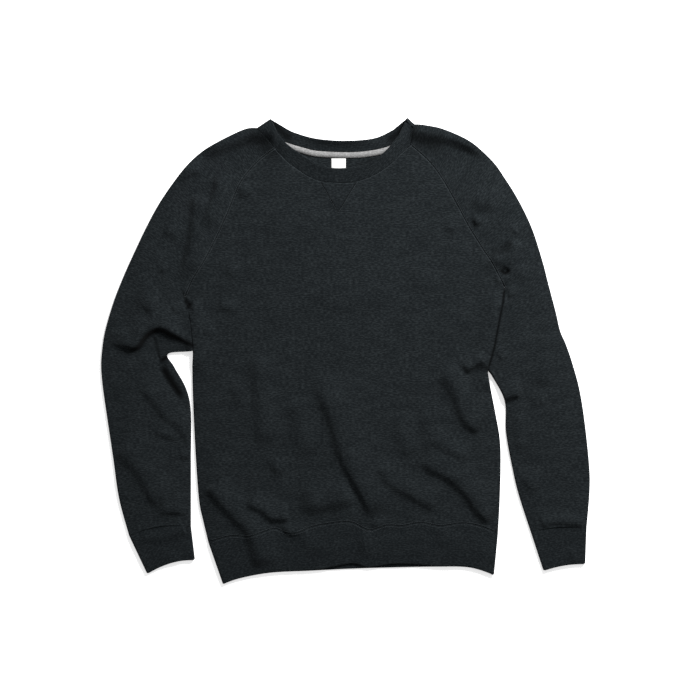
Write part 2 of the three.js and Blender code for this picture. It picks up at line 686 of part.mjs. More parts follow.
// The V insert under the front neckband: its top edge follows the neckline
function vInsert(name) {
  const rows = Array.from({ length: INSERT_ROWS + 1 }, (_, j) => {
    const f = j / INSERT_ROWS;
    return Array.from({ length: INSERT_COLUMNS + 1 }, (__, i) => {
      const u = mix(INSERT_NECK[0], INSERT_NECK[1], i / INSERT_COLUMNS);
      const seam = shift(neckFront(u), leftOf(neckFront, u), -INSERT_BELOW_SEAM);
      const tip = [INSERT_TIP[0] + (i / INSERT_COLUMNS - 0.5) * INSERT_TIP_WIDTH, INSERT_TIP[1]];
      return mixPoint(tip, seam, f);
    });
  });
  return appliedPiece(name, rows, bodyLevel.top, TRIM, HEATHER);
}

const backInside = () => FLEECE;

// The tape over the back neck seam allowance, just below the seam
function neckTape(name) {
  const across = Array.from({ length: TAPE_COLUMNS + 1 }, (_, i) => i / TAPE_COLUMNS);
  const rows = [TAPE_BELOW_SEAM + TAPE_WIDTH, TAPE_BELOW_SEAM].map((far) => (
    across.map((u) => shift(neckBack(u), leftOf(neckBack, u), -far))
  ));
  return appliedPiece(name, rows, backInside, TRIM, TAPE_GREY);
}

// The blank label that hangs from the tape, inside the back
function label(name) {
  const { right, left, top, bottom } = LABEL;
  const rows = [[[right, bottom], [left, bottom]], [[right, top], [left, top]]];
  return appliedPiece(name, rows, backInside, LABEL_CLOTH, LABEL_WHITE);
}

const RIGHT_ARM = {
  raglanFront: RAGLAN_FRONT_RIGHT, raglanBack: RAGLAN_BACK_RIGHT, shoulder: SHOULDER_RIGHT,
  arm: ARM_RIGHT, edge: CUFF_EDGE_RIGHT, armSide: 1,
};
const LEFT_ARM = {
  raglanFront: RAGLAN_FRONT_LEFT, raglanBack: RAGLAN_BACK_LEFT, shoulder: SHOULDER_LEFT,
  arm: ARM_LEFT, edge: CUFF_EDGE_LEFT, armSide: -1,
};

const sweatshirt = new THREE.Group();
sweatshirt.add(
  panel('front_panel', {
    hem: hemFront, neck: neckFront, raglanRight: RAGLAN_FRONT_RIGHT, raglanLeft: RAGLAN_FRONT_LEFT,
    columns: FRONT_COLUMNS, upper: true,
  }),
  panel('back_panel', {
    hem: hemBack, neck: neckBack, raglanRight: RAGLAN_BACK_RIGHT, raglanLeft: RAGLAN_BACK_LEFT,
    columns: BACK_COLUMNS, upper: false,
  }),
  sleeve('right_sleeve', RIGHT_ARM),
  sleeve('left_sleeve', LEFT_ARM),
  cuff('right_cuff', RIGHT_ARM),
  cuff('left_cuff', LEFT_ARM),
  hemBand('hem_band'),
  neckband('neckband'),
  vInsert('v_insert'),
  neckTape('neck_tape'),
  label('label'),
);
export default sweatshirt;
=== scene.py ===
"""A crewneck sweatshirt with raglan sleeves, in charcoal heather fleece, laid flat on its back.

Tables and grids are in millimetres, and meshes in metres. Right and left are the wearer's, so the
right sleeve lies at -X. +Y runs toward the neck and +Z up off the table.
"""

import math

import bpy
import numpy as np
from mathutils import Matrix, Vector


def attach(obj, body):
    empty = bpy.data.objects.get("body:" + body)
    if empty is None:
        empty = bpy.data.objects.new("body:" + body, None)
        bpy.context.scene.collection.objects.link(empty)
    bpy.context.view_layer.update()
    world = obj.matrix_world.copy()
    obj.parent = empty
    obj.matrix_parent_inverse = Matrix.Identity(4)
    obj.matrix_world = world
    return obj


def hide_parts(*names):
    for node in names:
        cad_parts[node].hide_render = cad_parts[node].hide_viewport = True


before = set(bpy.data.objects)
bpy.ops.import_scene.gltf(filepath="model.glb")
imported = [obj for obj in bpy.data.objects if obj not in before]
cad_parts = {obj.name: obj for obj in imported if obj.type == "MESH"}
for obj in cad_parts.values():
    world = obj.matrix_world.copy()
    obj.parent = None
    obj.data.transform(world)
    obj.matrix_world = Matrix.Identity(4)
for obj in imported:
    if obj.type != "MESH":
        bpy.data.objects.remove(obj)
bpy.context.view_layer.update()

MM = 0.001

# Cloth
FLEECE = 2.0
RIB = 3.0
TRIM = 1.0
LABEL_CLOTH = 0.8
AIR = 1.6
STACK = 2 * FLEECE + AIR
RIB_EXTRA = RIB - FLEECE
RIB_ROLL = (STACK + RIB_EXTRA) / 2
HALF_GAP = 0.06
NOTCH_GAP = 0.5
ON_CLOTH = 0.3
INNER_FLOOR = 0.3
THINNEST_EDGE = 0.04

# The body's side over the sleeve's inner edge, below each underarm
LIFT = 5.2
LIFT_FLAT = 6.0
LIFT_FALL = 30.0
LIFT_RISE = 28.0
UNDER_REACH = -0.8
UNDER_FADE = 2.0
UNDER_HEIGHT = 4.8
BESIDE_HEIGHT = 4.8
BESIDE_REACH = 22
BESIDE_CLOSE = 9
UNDER_PRESS = 1.0
BACK_BAND_RISE = 7.0
FRONT_BAND_LEAN = 4.6

# The share of a body side that lies below the underarm
SIDE_SHARE = 0.585

# How far the cloth puffs up inside its folded sides, and how fast it falls to them
PUFF = 2.4
PUFF_FALL = 13.0
HEM_PUFF_SHARE = 0.5

# The belly's slow swell, and how wide it is
BELLY_SWELL = 2.4
BELLY_WIDTH = 110

# The hem's free edge: the share of the folds left there, and how far in they come back
HEM_EDGE_SHARE = 0.1
HEM_EDGE_FLAT = 2
HEM_EDGE_RISE = 22

# The part of a crease's climb that is spread wide, and how much wider
SPREAD = 3.0
SPREAD_SHARE = 0.42

# The cloth's slow unevenness: how many waves, their lengths and how steep they are
WAVES = 30
WAVE_LENGTHS = (30, 110)
WAVE_SLOPE = 0.008

# Grid steps
STEP = 3.0
ROLL_TURNS = [0, 15, 30, 45, 60, 75, 90]
SEAM_INSETS = [0, 0.5, 1.1, 1.8, 2.6, 3.6, 5.0]

# Seams: how deep and how wide the cloth sinks into them
SEAM_SINK = 0.8
SEAM_SINK_WIDTH = 1.2

# Stitching: the rows' distances are from their seams, positive on the left hand
STITCH_PITCH = 2.6
STITCH_LENGTH = 2.2
THREAD = 0.52
THREAD_RAISED = 0.1
TWIN = 3
NECK_ROW = -1.3
ABOVE_HEM_ROW = 1.6
BELOW_HEM_ROW = -2.4
INSERT_ROW = (0.8, -1.5)

# Columns and rows of each piece, and the bands' depths
SLEEVE_UPPER = 66
SLEEVE_LOWER = 16
SLEEVE_STEP = 2.0
CUFF_UPPER = 34
CUFF_LOWER = 12
BAND_ROWS = 14
FRONT_COLUMNS = 156
BACK_COLUMNS = 70
BACK_STEP = 6.0
HEM_DEPTH = 60.0
NECK_DEPTH = 21.0

# Near the underarm a seam's edge sinks into the side fold: over what run, and how wide
UNDERARM_RUN = 10.0
UNDERARM_WIDTH = 3.0

# The studio, in metres: a soft lamp, a pale floor and a camera straight above
KEY_POWER = 100
KEY_SIZE = 0.8
KEY_DISTANCE = 2.2
KEY_AZIMUTH = 58
KEY_ELEVATION = 38
SKY_STRENGTH = 0.42
FLOOR_HALF = 6.0
FLOOR_DROP = 0.0004
FLOOR_GREY = 0.92
FLOOR_GLOW = 0.5
EYE = (0.00675, 0.0015, 3.006)
EYE_DISTANCE = 3.0
VIEW_WIDTH = 1.05
SENSOR = 36

# The V insert, the neck tape and the label
INSERT_NECK = (0.358, 0.584)
INSERT_TIP = (-11, 208)
INSERT_TIP_WIDTH = 1.5
INSERT_SUNK = 1.3
INSERT_PROUD = 0.4
# Painted shade along the insert's seams: how dark, and how wide
INSERT_SEAM_PAINTED_SHADE = 0.8
INSERT_SEAM_SHADE_WIDTH = 1.3
INSERT_BELOW_SEAM = 1.2
TAPE_BELOW_SEAM = 0.6
TAPE_WIDTH = 8.6
LABEL = {"right": -21.4, "left": 0.4, "top": 289, "bottom": 262}

# Outlines, from the lower end up or from right to left, each point (x, y)
SIDE_RIGHT = [
    (-206, -287), (-214, -254), (-220, -224), (-225, -156), (-229, -74), (-230, -28), (-229, -2),
    (-232, 32), (-236, 58), (-241, 82),
]
SIDE_LEFT = [
    (229, -273), (231, -238), (233, -178), (232, -134), (225, -92), (217, -51), (214, -26),
    (224, 10), (231, 52), (239, 96),
]
RAGLAN_FRONT_RIGHT = [
    (-241, 82), (-229, 108), (-212, 135), (-194, 170), (-177, 207), (-158, 252), (-132, 284),
    (-106, 304),
]
RAGLAN_FRONT_LEFT = [
    (239, 96), (221, 130), (206, 153), (186, 185), (166, 222), (146, 257), (126, 284), (98, 309),
]
RAGLAN_BACK_RIGHT = [(-241, 82), (-222, 112), (-190, 168), (-160, 220), (-130, 273), (-97, 318)]
RAGLAN_BACK_LEFT = [(239, 96), (214, 136), (176, 198), (140, 250), (108, 290), (79, 316)]
NECK_FRONT = [
    (-106, 304), (-88, 285), (-71, 272), (-55, 262), (-37, 255), (-11, 253), (14, 254), (34, 260),
    (50, 268), (67, 280), (83, 296), (98, 309),
]
NECK_FOLD_FRONT = [
    (-98, 321), (-88, 310), (-73, 299), (-55, 288), (-37, 279), (-20, 274), (2, 274), (26, 278),
    (43, 286), (56, 296), (67, 307), (80, 324),
]
NECK_BACK = [
    (-97, 318), (-87, 313), (-64, 306), (-42, 301), (2, 299), (34, 301), (62, 307), (79, 316),
]
NECK_FOLD_BACK = [(-92, 336), (-76, 328), (-42, 319), (1, 316), (44, 320), (71, 332)]
HEM_FRONT = [
    (-206, -287), (-188, -281), (-170, -277), (-148, -278), (-130, -273), (-107, -266), (-90, -272),
    (-73, -272), (-52, -264), (-30, -259), (7, -256), (35, -268), (61, -261), (85, -262),
    (112, -257), (141, -262), (173, -258), (201, -262), (229, -273),
]
HEM_BACK = [(-206, -287), (-143, -273), (1, -266), (157, -266), (229, -273)]
EDGE_FRONT = [
    (-184, -350), (-157, -340), (-112, -332), (-60, -329), (-36, -327), (-14, -322.5), (8, -318.5),
    (20, -320), (32, -324), (47, -322.5), (71, -319), (97, -319), (122, -321.2), (146, -323.4),
    (185, -324), (223, -336),
]
EDGE_BACK = [
    (-184, -350), (-157, -341), (-112, -333), (-53, -330), (7, -327), (74, -325), (134, -324),
    (185, -325), (223, -336),
]
NOTCH_RIGHT = {"seam": (-133, 334), "tip": (-112, 348)}
NOTCH_LEFT = {"seam": (104, 340), "tip": (93, 350)}
SHOULDER_RIGHT = [
    (-133, 334), (-152, 332), (-190, 314), (-220, 296), (-247, 268), (-277, 226), (-301, 182),
    (-329, 122),
]
SHOULDER_LEFT = [
    (104, 340), (122, 338), (148, 332), (187, 314), (220, 286), (239, 260), (260, 226), (281, 182),
    (298, 128),
]

# Sections of each arm below the underarm: inner fold, outer fold, and the bow toward the cuff
ARM_RIGHT = {
    "inner": [
        (-241, 82), (-229, 54), (-222, 26), (-224, 2), (-266, -4), (-257, -24), (-239, -57),
        (-232, -93), (-232, -164), (-232, -224), (-232, -264),
    ],
    "outer": [
        (-329, 122), (-343, 88), (-352, 62), (-361, 30), (-365, 6), (-367, -21), (-365, -50),
        (-359, -93), (-349, -160), (-340, -222), (-325, -278),
    ],
    "bow": [0, 0, 0, 0, 0, 0, 0, 0, 0, -4, -8],
}
ARM_LEFT = {
    "inner": [
        (239, 96), (229, 62), (219, 30), (212, 5), (207, -20), (220, -38), (239, -76), (241, -123),
        (251, -178), (260, -216), (278, -272),
    ],
    "outer": [
        (298, 128), (305, 100), (316, 58), (322.5, 30), (331, 10), (340, -16), (351, -56),
        (359, -105), (366, -172), (366.5, -212), (362, -266),
    ],
    "bow": [0, 0, 0, 0, 0, 0, 0, 0, 0, -3, -5],
}
CUFF_EDGE_RIGHT = {"inner": (-226, -314), "outer": (-298, -335), "bow": -6}
CUFF_EDGE_LEFT = {"inner": (297, -330), "outer": (360, -320), "bow": -3}


# Creases of the upper layer, read along the middle of their steep side: the path, the height, half
# the steep side's width, the gentle side's width, which hand of the path is the high one (1 is the
# left), and how far each end takes to fade out
CREASES = [
    # The belly's long diagonal folds
    ([(-53.2, -31.5), (-42.8, -61.5), (-30.8, -91.5), (-18.8, -125.5), (-11.2, -154.5), (3.8,
     -186), (23.2, -219), (32.2, -238.5), (38.2, -256.5)], 10, (9.5, 4.4), (46, 30), 1, (60,
     30)),
    ([(107.2, -156), (123.8, -178.5), (150.2, -192), (174.8, -213), (194.2, -240), (215.2,
     -261)], 8.5, (6.5, 4.0), (34, 24), 1, (30, 12)),
    ([(111.8, -66), (113.2, -91.5), (118.5, -139.5), (129.8, -166.5)], 3, 8, 20, 1, (30, 20)),
    ([(42.8, -166.5), (52.5, -184.5), (66.8, -204), (91.5, -216), (116.2, -231), (137.2,
     -241.5)], 6, 5.8, 20, 1, (18, 14)),
    ([(81.8, -207), (99.8, -223.5), (119.2, -234)], 1.6, 4, 10, 1, (20, 20)),
    ([(135.8, -25.5), (145.3, -42), (159.8, -67.5), (170.2, -96), (182.2, -114), (203.2,
     -124.5)], 8, (9.0, 4.0), 26, 1, (24, 14)),
    ([(180.8, -34.5), (188.2, -27.8), (200.2, -20.2), (210.8, -16.5)], 8, 3.2, 14, 1, (8, 4)),
    ([(-209.2, -204), (-201.8, -216), (-186.8, -233.2), (-167.2, -255), (-147.8, -276), (-137.2,
     -313.5), (-135.8, -340.5)], 9, (5.0, 8.0), 26, 1, (10, 30)),
    ([(-152.2, -229.5), (-140.2, -235.5), (-128.2, -240), (-119.2, -247.5), (-110.2, -254.2),
     (-96.8, -254.2), (-83.2, -252.8)], 8, (4.8, 3.4), 16, 1, (10, 6)),
    ([(-104.2, -255), (-96.8, -264), (-84.8, -274.5), (-69.8, -276), (-53.2, -274.5)], 5.4, 3.4,
     14, 1, (25, 25)),
    ([(-71.2, -242.2), (-50.2, -239.2), (-30.8, -237), (-6.8, -232.5), (17.2, -223.5)], 9, 8.5,
     26, 1, (30, 16)),
    ([(30.8, -258), (50.2, -264), (69.8, -256.5)], 2.6, 3.0, 10, 1, (17, 17)),
    ([(14.2, -268.5), (23.2, -291), (27.8, -316.5)], 2.8, 6, 16, 1, (21, 21)),
    ([(128.2, -256.5), (135.8, -273), (138.8, -298.5)], 2.4, 5, 14, 1, (18, 18)),
    ([(-71.2, -277.5), (-60.8, -292.5), (-56.2, -310.5)], 2.4, 6, 16, 1, (15, 15)),
    # The belly's soft ones
    ([(-143.2, -6), (-138.8, -28.5), (-135.8, -73.5), (-132.8, -111), (-131.2, -148.5)], 5.5, 8,
     20, 1, (20, 26)),
    ([(-179.2, -40.5), (-167.2, -70.5), (-158.2, -91.5)], 3.8, 7, 14, 1, (23, 23)),
    ([(-119.2, -166.5), (-104.2, -181.5), (-92.2, -190.5)], 4.2, 5, 12, 1, (15, 15)),
    ([(-164.2, -178.5), (-156.8, -193.5), (-147.8, -178.5)], 2.3, 5, 10, 1, (14, 14)),
    ([(-89.2, -66), (-80.2, -118.5), (-68.2, -166.5)], 3.8, 10, 24, 1, (24, 24)),
    ([(74.2, -88.5), (78.8, -133.5), (90.8, -166.5)], 4.2, 8, 18, 1, (20, 20)),
    ([(123.8, -133.5), (150.8, -151.5), (186.8, -166.5)], 5.1, 6, 16, 1, (14, 14)),
    # The chest and the body's sides
    ([(143.2, 184.5), (156.8, 180), (170.2, 177)], 3.8, 4.5, 14, 1, (12, 12)),
    ([(-188.2, 124.5), (-173.2, 114), (-158.2, 105)], 3.8, 6, 14, 1, (15, 15)),
    ([(-195.8, 61.5), (-176.2, 61.5), (-161.2, 55.5)], 3.8, 4.5, 12, 1, (15, 15)),
    ([(-213.8, 21), (-203.2, 24), (-191.2, 27)], 3.2, 3.4, 10, 1, (10, 10)),
    ([(-233.2, 63), (-225.8, 60), (-219.8, 60)], 3.2, 2.6, 8, 1, (6, 6)),
    ([(-161.2, 228), (-147.8, 232.5), (-134.2, 238.5)], 2.8, 3.0, 8, 1, (12, 12)),
    ([(-164.2, 237), (-152.2, 241.5), (-141.8, 246)], 2, 2.6, 6, 1, (10, 10)),
    ([(-128.2, 181.5), (-68.2, 172.5), (-8.2, 178.5)], 2.3, 12, 30, 1, (30, 30)),
    ([(-68.2, 76.5), (6.8, 61.5), (81.8, 76.5)], 3.2, 14, 34, 1, (40, 40)),
    ([(84.8, 133.5), (102.8, 99), (126.8, 76.5)], 3.2, 10, 24, 1, (20, 20)),
    # The right sleeve above the elbow
    ([(-231.8, 237), (-229.5, 216), (-231.8, 186), (-237.8, 150), (-245.2, 123), (-248.2,
     100.5)], 7.1, 6, 22, 1, (18, 44)),
    ([(-194.2, 268.5), (-195.8, 250.5), (-200.2, 231), (-206.2, 211.5), (-212.2, 189), (-210.8,
     169.5)], 9.1, 6, 16, 1, (18, 44)),
    ([(-239.2, 250.5), (-236.2, 259.5), (-225.8, 265.5), (-212.2, 264.8)], 6.2, 4, 14, 1, (15,
     15)),
    ([(-281.2, 91.5), (-281.2, 79.5), (-284.2, 66), (-290.2, 55.5), (-297.8, 49.5)], 6.7, 3.4,
     12, -1, (20, 20)),
    ([(-263.2, 70.5), (-258.8, 63), (-251.2, 57), (-236.2, 51.8)], 6.2, 3.4, 12, 1, (14, 14)),
    ([(-299.2, 112.5), (-303.8, 97.5), (-311.2, 76.5), (-320.2, 58.5)], 4.3, 7, 14, 1, (24, 24)),
    ([(-278.2, 178.5), (-263.2, 172.5), (-251.2, 163.5)], 3.8, 6, 14, 1, (13, 13)),
    ([(-281.2, 124.5), (-276.8, 118.5), (-270.8, 114)], 3.4, 4, 10, 1, (6, 6)),
    # The left sleeve at its raglan
    ([(190.5, 205.5), (191.2, 198), (193.5, 190.5), (197.2, 183)], 6.5, 3.0, 10, 1, (10, 10)),
    ([(221.2, 253.5), (216.8, 241.5), (211.5, 229.5), (207.8, 217.5), (205.5, 205.5)], 5.3, 5,
     12, 1, (21, 21)),
    ([(197.2, 250.5), (194.2, 226.5), (192, 205.5)], 3.8, 5, 10, 1, (19, 19)),
    ([(243, 192), (248.2, 181.5), (256.5, 169.5)], 2.6, 3, 9, 1, (11, 11)),
    ([(248.2, 169.5), (244.5, 156), (240.8, 147), (233.2, 142.5), (221.2, 150)], 6, 3.8, 14, 1,
     (8, 6)),
    ([(218.2, 114), (225.8, 105), (233.2, 96)], 2.4, 3.4, 9, 1, (10, 10)),
    ([(239.2, 94.5), (242.2, 87), (246.8, 78)], 3.2, 2.8, 10, 1, (2, 6)),
    ([(222.8, 1.5), (228.8, -7.5), (234.8, -18)], 2.8, 3.4, 10, 1, (3, 8)),
    ([(255.8, 133.5), (257.2, 118.5), (260.2, 102)], 2.3, 5, 12, 1, (13, 13)),
    # The left sleeve's elbow and forearm
    ([(236.2, -75.8), (243.8, -72.8), (252.8, -69.8), (264.8, -69)], 7.8, 3.4, 22, 1, (3, 8)),
    ([(272.2, -67.5), (279.8, -75), (288.8, -87)], 2.6, 4.6, 14, 1, (11, 11)),
    ([(293.2, 31.5), (290.2, 1.5), (287.2, -28.5), (284.2, -55.5)], 3.1, 9, 18, 1, (20, 16)),
    ([(257.2, -178.5), (264.8, -193.5), (275.2, -207), (287.2, -219)], 4.1, 6, 16, 1, (21, 21)),
    ([(293.2, -265.5), (308.2, -260.2), (324.8, -259.5), (344.2, -261.8), (359.2, -264)], 3.4,
     3.0, 14, 1, (8, 6)),
    ([(255.8, -91.5), (252.8, -118.5), (257.2, -151.5)], 2.7, 5, 10, 1, (10, 14)),
    # The shoulders, below their outer folds
    ([(93.8, 325.5), (111.8, 319.5), (126.8, 317.2), (143.2, 315.8), (164.2, 309.8), (186.8,
     300), (216.8, 283.5)], 12.5, (10.5, 5.5), 28, 1, (12, 40)),
    ([(-209.2, 283.5), (-188.2, 298.5), (-164.2, 307.5), (-143.2, 315), (-122.2, 318), (-99.8,
     315)], 12.5, (6.5, 10.5), 28, 1, (34, 10)),
    # The cuffs
    ([(-308.2, -285), (-293.2, -285), (-275.2, -284.2), (-255.8, -279), (-237.8, -270)], 2.9, 4,
     10, 1, (8, 3)),
    ([(333.8, -295.5), (336.8, -307.5), (341.2, -319.5)], 2.6, 4, 9, 1, (6, 3)),
    ([(-269.2, -307.5), (-260.2, -316.5), (-248.2, -325.5)], 2.2, 5, 12, 1, (12, 12)),
]

# The right sleeve's own, which end where it passes under the body
ELBOW_CREASES = [
    # The right sleeve's elbow
    ([(-359.2, 12), (-347.2, 9), (-336.8, 6.8), (-327.8, 5.2), (-320.2, 2.2), (-311.2, 4.5),
     (-305.2, 12.8), (-298.6, 21.9), (-290.2, 28.5), (-281.2, 32.2), (-272.2, 30.8), (-261.8,
     24.8), (-246.8, 18), (-228.8, 9)], 11, 3.0, 26, 1, (40, 0.5)),
    ([(-317.2, -49.5), (-300.8, -66), (-285.8, -83.5), (-273.8, -99.8), (-254.2, -114), (-240.8,
     -135), (-231.8, -151.5)], 4.2, 5.0, 22, 1, (24, 30)),
    ([(-291.8, -124.5), (-269.2, -129), (-249.8, -139.5)], 3.1, 4, 12, 1, (19, 19)),
    ([(-248.2, -163.5), (-239.2, -161.2), (-228.8, -159)], 2.8, 3, 9, 1, (6, 1)),
    ([(-308.2, -16.5), (-298.6, -20.2), (-290.2, -22.5)], 2.2, 4, 9, 1, (8, 8)),
    ([(-350.2, -151.5), (-342.8, -156), (-326.2, -171), (-311.2, -189), (-300.8, -208.5),
     (-290.2, -228), (-281.2, -241.5)], 6.8, (9.0, 6.0), 30, 1, (16, 24)),
    ([(-287.2, -245.2), (-275.2, -245.2), (-263.2, -243.8), (-248.2, -244.5), (-233.2, -249)], 5,
     3.2, 22, 1, (23, 23)),
]

# Grooves: path, depth, width and the fading of each end
GROOVES = [
    # The edge of the right forearm's front face, and the wedge beside it
    ([(-286.5, 18.6), (-281.2, -0.8), (-276.8, -18)], 2, 2, (1, 1)),
    ([(-276.8, -18), (-272.2, -31.5), (-261.8, -48), (-251.2, -63), (-242.2, -75)], 6, 4.6, (5,
     9)),
    ([(-242.2, -75), (-237.8, -85.5), (-234.8, -97.5)], 1.6, 2.6, (4, 5)),
    # The small pockets at the raglans' lower ends
    ([(238.5, 120.3), (240, 118.5)], 4.6, 4.6, (0, 0)),
    ([(-237, 70.5), (-235.4, 63.8)], 4, 3.8, (0, 0)),
]

# Painted shade: deep places that light hardly reaches, where the cloth's colour is darkened toward
# black. Each entry: path, how dark, width, the fading of each end, and the height that they stay below
PAINTED_SHADE_PATHS = [
    # Elbow
    ([(-338.2, 6.8), (-327.8, 4.2), (-318.8, 2.2), (-309.8, 5.2), (-303.8, 13.5), (-297.8, 21.8),
     (-290.2, 27.8), (-281.2, 31.5)], 0.88, 4.2, (24, 6), 99),
    ([(-303.8, 14.2), (-296.2, 23.2), (-290.2, 27.8), (-281.2, 31.5), (-272.9, 30), (-262.2, 24),
     (-247.2, 17.5), (-230.2, 9)], 0.97, 3.8, (3, 0), 99),
    ([(-287.2, 20.2), (-282, 1.5), (-276.8, -16.5)], 0.8, 1.7, (0, 0), 99),
    ([(-276.8, -16.5), (-271.5, -28.5), (-264.8, -40.5), (-256.5, -52.5), (-246.8, -66), (-239.2,
     -78)], 0.98, 5.8, (14, 20), 99),
    ([(-273.8, -12.9), (-269.2, -9.9)], 0.99, 4.4, (0, 0), 99),
    # Right underarm
    ([(-243.8, 93), (-241.8, 81), (-238.5, 73.5)], 0.6, 1.8, (6, 0), 99),
    ([(-241, 79.5), (-237.8, 72), (-232.5, 69.8)], 0.98, 3, (4, 0), 99),
    ([(-236, 69), (-235.4, 62.2)], 0.98, 3.2, (0, 2), 99),
    ([(-235.2, 63), (-233.2, 46.5), (-231, 25.5)], 0.3, 1.3, (0, 10), 99),
    # Left underarm
    ([(234.5, 120), (239.2, 116.7), (244.3, 120.9)], 0.96, 3, (0, 0), 99),
    ([(227.2, 148.5), (236.2, 151.5), (243.8, 159)], 0.4, 7, (0, 0), 99),
    ([(238.3, 93), (236.1, 72), (231.8, 51), (227.2, 27), (222.2, 1.5), (215.2, -22.5)], 0.88,
     1.9, (6, 0), 99),
    ([(198.8, -26.2), (207.8, -24), (213, -27.8)], 0.62, 4.4, (3, 0), 99),
    # The shoulders beside the neckband
    ([(-147.8, 327), (-131.2, 316.5), (-113.2, 301.5), (-93.8, 285)], 0.5, 12.5, (12, 16), 99),
    ([(90.8, 318), (111.8, 315), (135.8, 310.5), (156.8, 304.5)], 0.45, 12, (8, 24), 99),
    # Inside the neck
    ([(-110.2, 345), (-99.8, 333), (-86.2, 321), (-74.2, 313.5)], 0.75, 6.5, (0, 16), 5.6),
    ([(92.2, 343.5), (81.8, 330), (68.2, 318), (56.2, 312)], 0.75, 6.5, (0, 16), 5.6),
    ([(15.8, 278.2), (26.2, 282), (41.2, 287.2)], 0.5, 2.6, (5, 4), 4),
]

# Where a body side lies over a sleeve: the side, the way into the body, and its upper and lower end
OVERLAPS = [
    {"side": np.array(SIDE_RIGHT, float), "inward": 1, "top": 82, "low": -8},
    {"side": np.array(SIDE_LEFT, float), "inward": -1, "top": 96, "low": -40},
]


# Plan points and curves
def smooth(f):
    c = np.clip(f, 0, 1)
    return c * c * (3 - 2 * c)


def mix(a, b, f):
    return a + (b - a) * f


def unit(v):
    v = np.asarray(v, float)
    return v / np.maximum(np.linalg.norm(v, axis=-1, keepdims=True), 1e-9)


def turn_left(v):
    return np.stack([-v[..., 1], v[..., 0]], axis=-1)


def catmull(points, t):
    """Points of a smooth curve that passes points[i] at t = i."""
    p = np.asarray(points, float)
    t = np.clip(np.asarray(t, float), 0, len(p) - 1)
    i = np.minimum(t.astype(int), len(p) - 2)
    f = (t - i)[..., None]
    p0, p1 = p[np.maximum(i - 1, 0)], p[i]
    p2, p3 = p[i + 1], p[np.minimum(i + 2, len(p) - 1)]
    v0, v1 = (p2 - p0) / 2, (p3 - p1) / 2
    cube = (2 * p1 - 2 * p2 + v0 + v1) * f**3
    return cube + (-3 * p1 + 3 * p2 - 2 * v0 - v1) * f**2 + v0 * f + p1


class Curve:
    """A smooth plan curve, read at a share of its length."""

    def __init__(self, points):
        t = np.linspace(0, len(points) - 1, 60 * (len(points) - 1) + 1)
        self.points = catmull(points, t)
        steps = np.linalg.norm(np.diff(self.points, axis=0), axis=1)
        far = np.concatenate([[0], np.cumsum(steps)])
        self.length = far[-1]
        self.share = far / far[-1]

    def __call__(self, f):
        f = np.clip(f, 0, 1)
        return np.stack(
            [np.interp(f, self.share, self.points[:, k]) for k in (0, 1)], axis=-1
        )

    def left(self, f):
        f = np.asarray(f, float)
        return turn_left(unit(self(f + 0.01) - self(f - 0.01)))


side_right, side_left = Curve(SIDE_RIGHT), Curve(SIDE_LEFT)
neck_front, neck_back = Curve(NECK_FRONT), Curve(NECK_BACK)
neck_fold_front, neck_fold_back = Curve(NECK_FOLD_FRONT), Curve(NECK_FOLD_BACK)
hem_front, hem_back = Curve(HEM_FRONT), Curve(HEM_BACK)
edge_front, edge_back = Curve(EDGE_FRONT), Curve(EDGE_BACK)


BELLY = np.array([(0, -200), (0, 120)], float)


def drawn(points, count=60):
    """A smooth curve as a line of short steps."""
    return Curve(points)(np.linspace(0, 1, count))


SIDE_LINES = [drawn(SIDE_RIGHT), drawn(SIDE_LEFT)]
ARM_LINES = [
    catmull(ARM_RIGHT["inner"], np.linspace(0, 10, 60)),
    catmull(ARM_RIGHT["outer"], np.linspace(0, 10, 60)),
    catmull(ARM_LEFT["inner"], np.linspace(0, 10, 60)),
    catmull(ARM_LEFT["outer"], np.linspace(0, 10, 60)),
    drawn(SHOULDER_RIGHT),
    drawn(SHOULDER_LEFT),
]
HEM_EDGE = drawn(EDGE_FRONT)
SEAM_LINES = [
    drawn(RAGLAN_FRONT_RIGHT),
    drawn(RAGLAN_FRONT_LEFT),
    drawn(NECK_FRONT),
    drawn(HEM_FRONT),
    np.array([ARM_RIGHT["inner"][-1], ARM_RIGHT["outer"][-1]], float),
    np.array([ARM_LEFT["inner"][-1], ARM_LEFT["outer"][-1]], float),
]


def side_x(side, y):
    return np.interp(y, side[:, 1], side[:, 0])


def away_from(points, x, y):
    return along_path(points, x, y)[0]


# Heights
def along_path(path, x, y):
    """Distance to a path, the share of its length at the nearest point, and which hand that is."""
    away = np.full(np.shape(x), np.inf)
    along = np.zeros(np.shape(x))
    left = np.zeros(np.shape(x), bool)
    steps = np.diff(path, axis=0)
    lengths = np.linalg.norm(steps, axis=1)
    walked = 0.0
    for (ax, ay), (sx, sy), length in zip(path[:-1], steps, lengths):
        f = np.clip(((x - ax) * sx + (y - ay) * sy) / length**2, 0, 1)
        d = np.hypot(x - ax - sx * f, y - ay - sy * f)
        near = d < away
        away = np.where(near, d, away)
        along = np.where(near, (walked + length * f) / lengths.sum(), along)
        left = np.where(near, sx * (y - ay) - sy * (x - ax) > 0, left)
        walked += length
    return away, along, left


class Line:
    """A crease's path as a smooth run of short steps, with its reach."""

    def __init__(self, path, ends, reach):
        curve = Curve(path)
        self.points = curve(np.linspace(0, 1, 8 + 2 * len(path)))
        self.length = curve.length
        self.ends = ends
        self.low = self.points.min(axis=0) - reach
        self.high = self.points.max(axis=0) + reach

    def near(self, x, y):
        inside = (x > self.low[0]) & (x < self.high[0])
        return inside & (y > self.low[1]) & (y < self.high[1])

    def __call__(self, x, y):
        """Signed distance, positive on the left hand, the share of the length, and the fade toward
        the ends. An end without a fade is round."""
        away, along, left = along_path(self.points, x, y)
        fade = np.ones(np.shape(away))
        for end, share in zip(self.ends, (along, 1 - along)):
            if end:
                fade = fade * smooth(share * self.length / end)
        return np.where(left, away, -away), along, fade


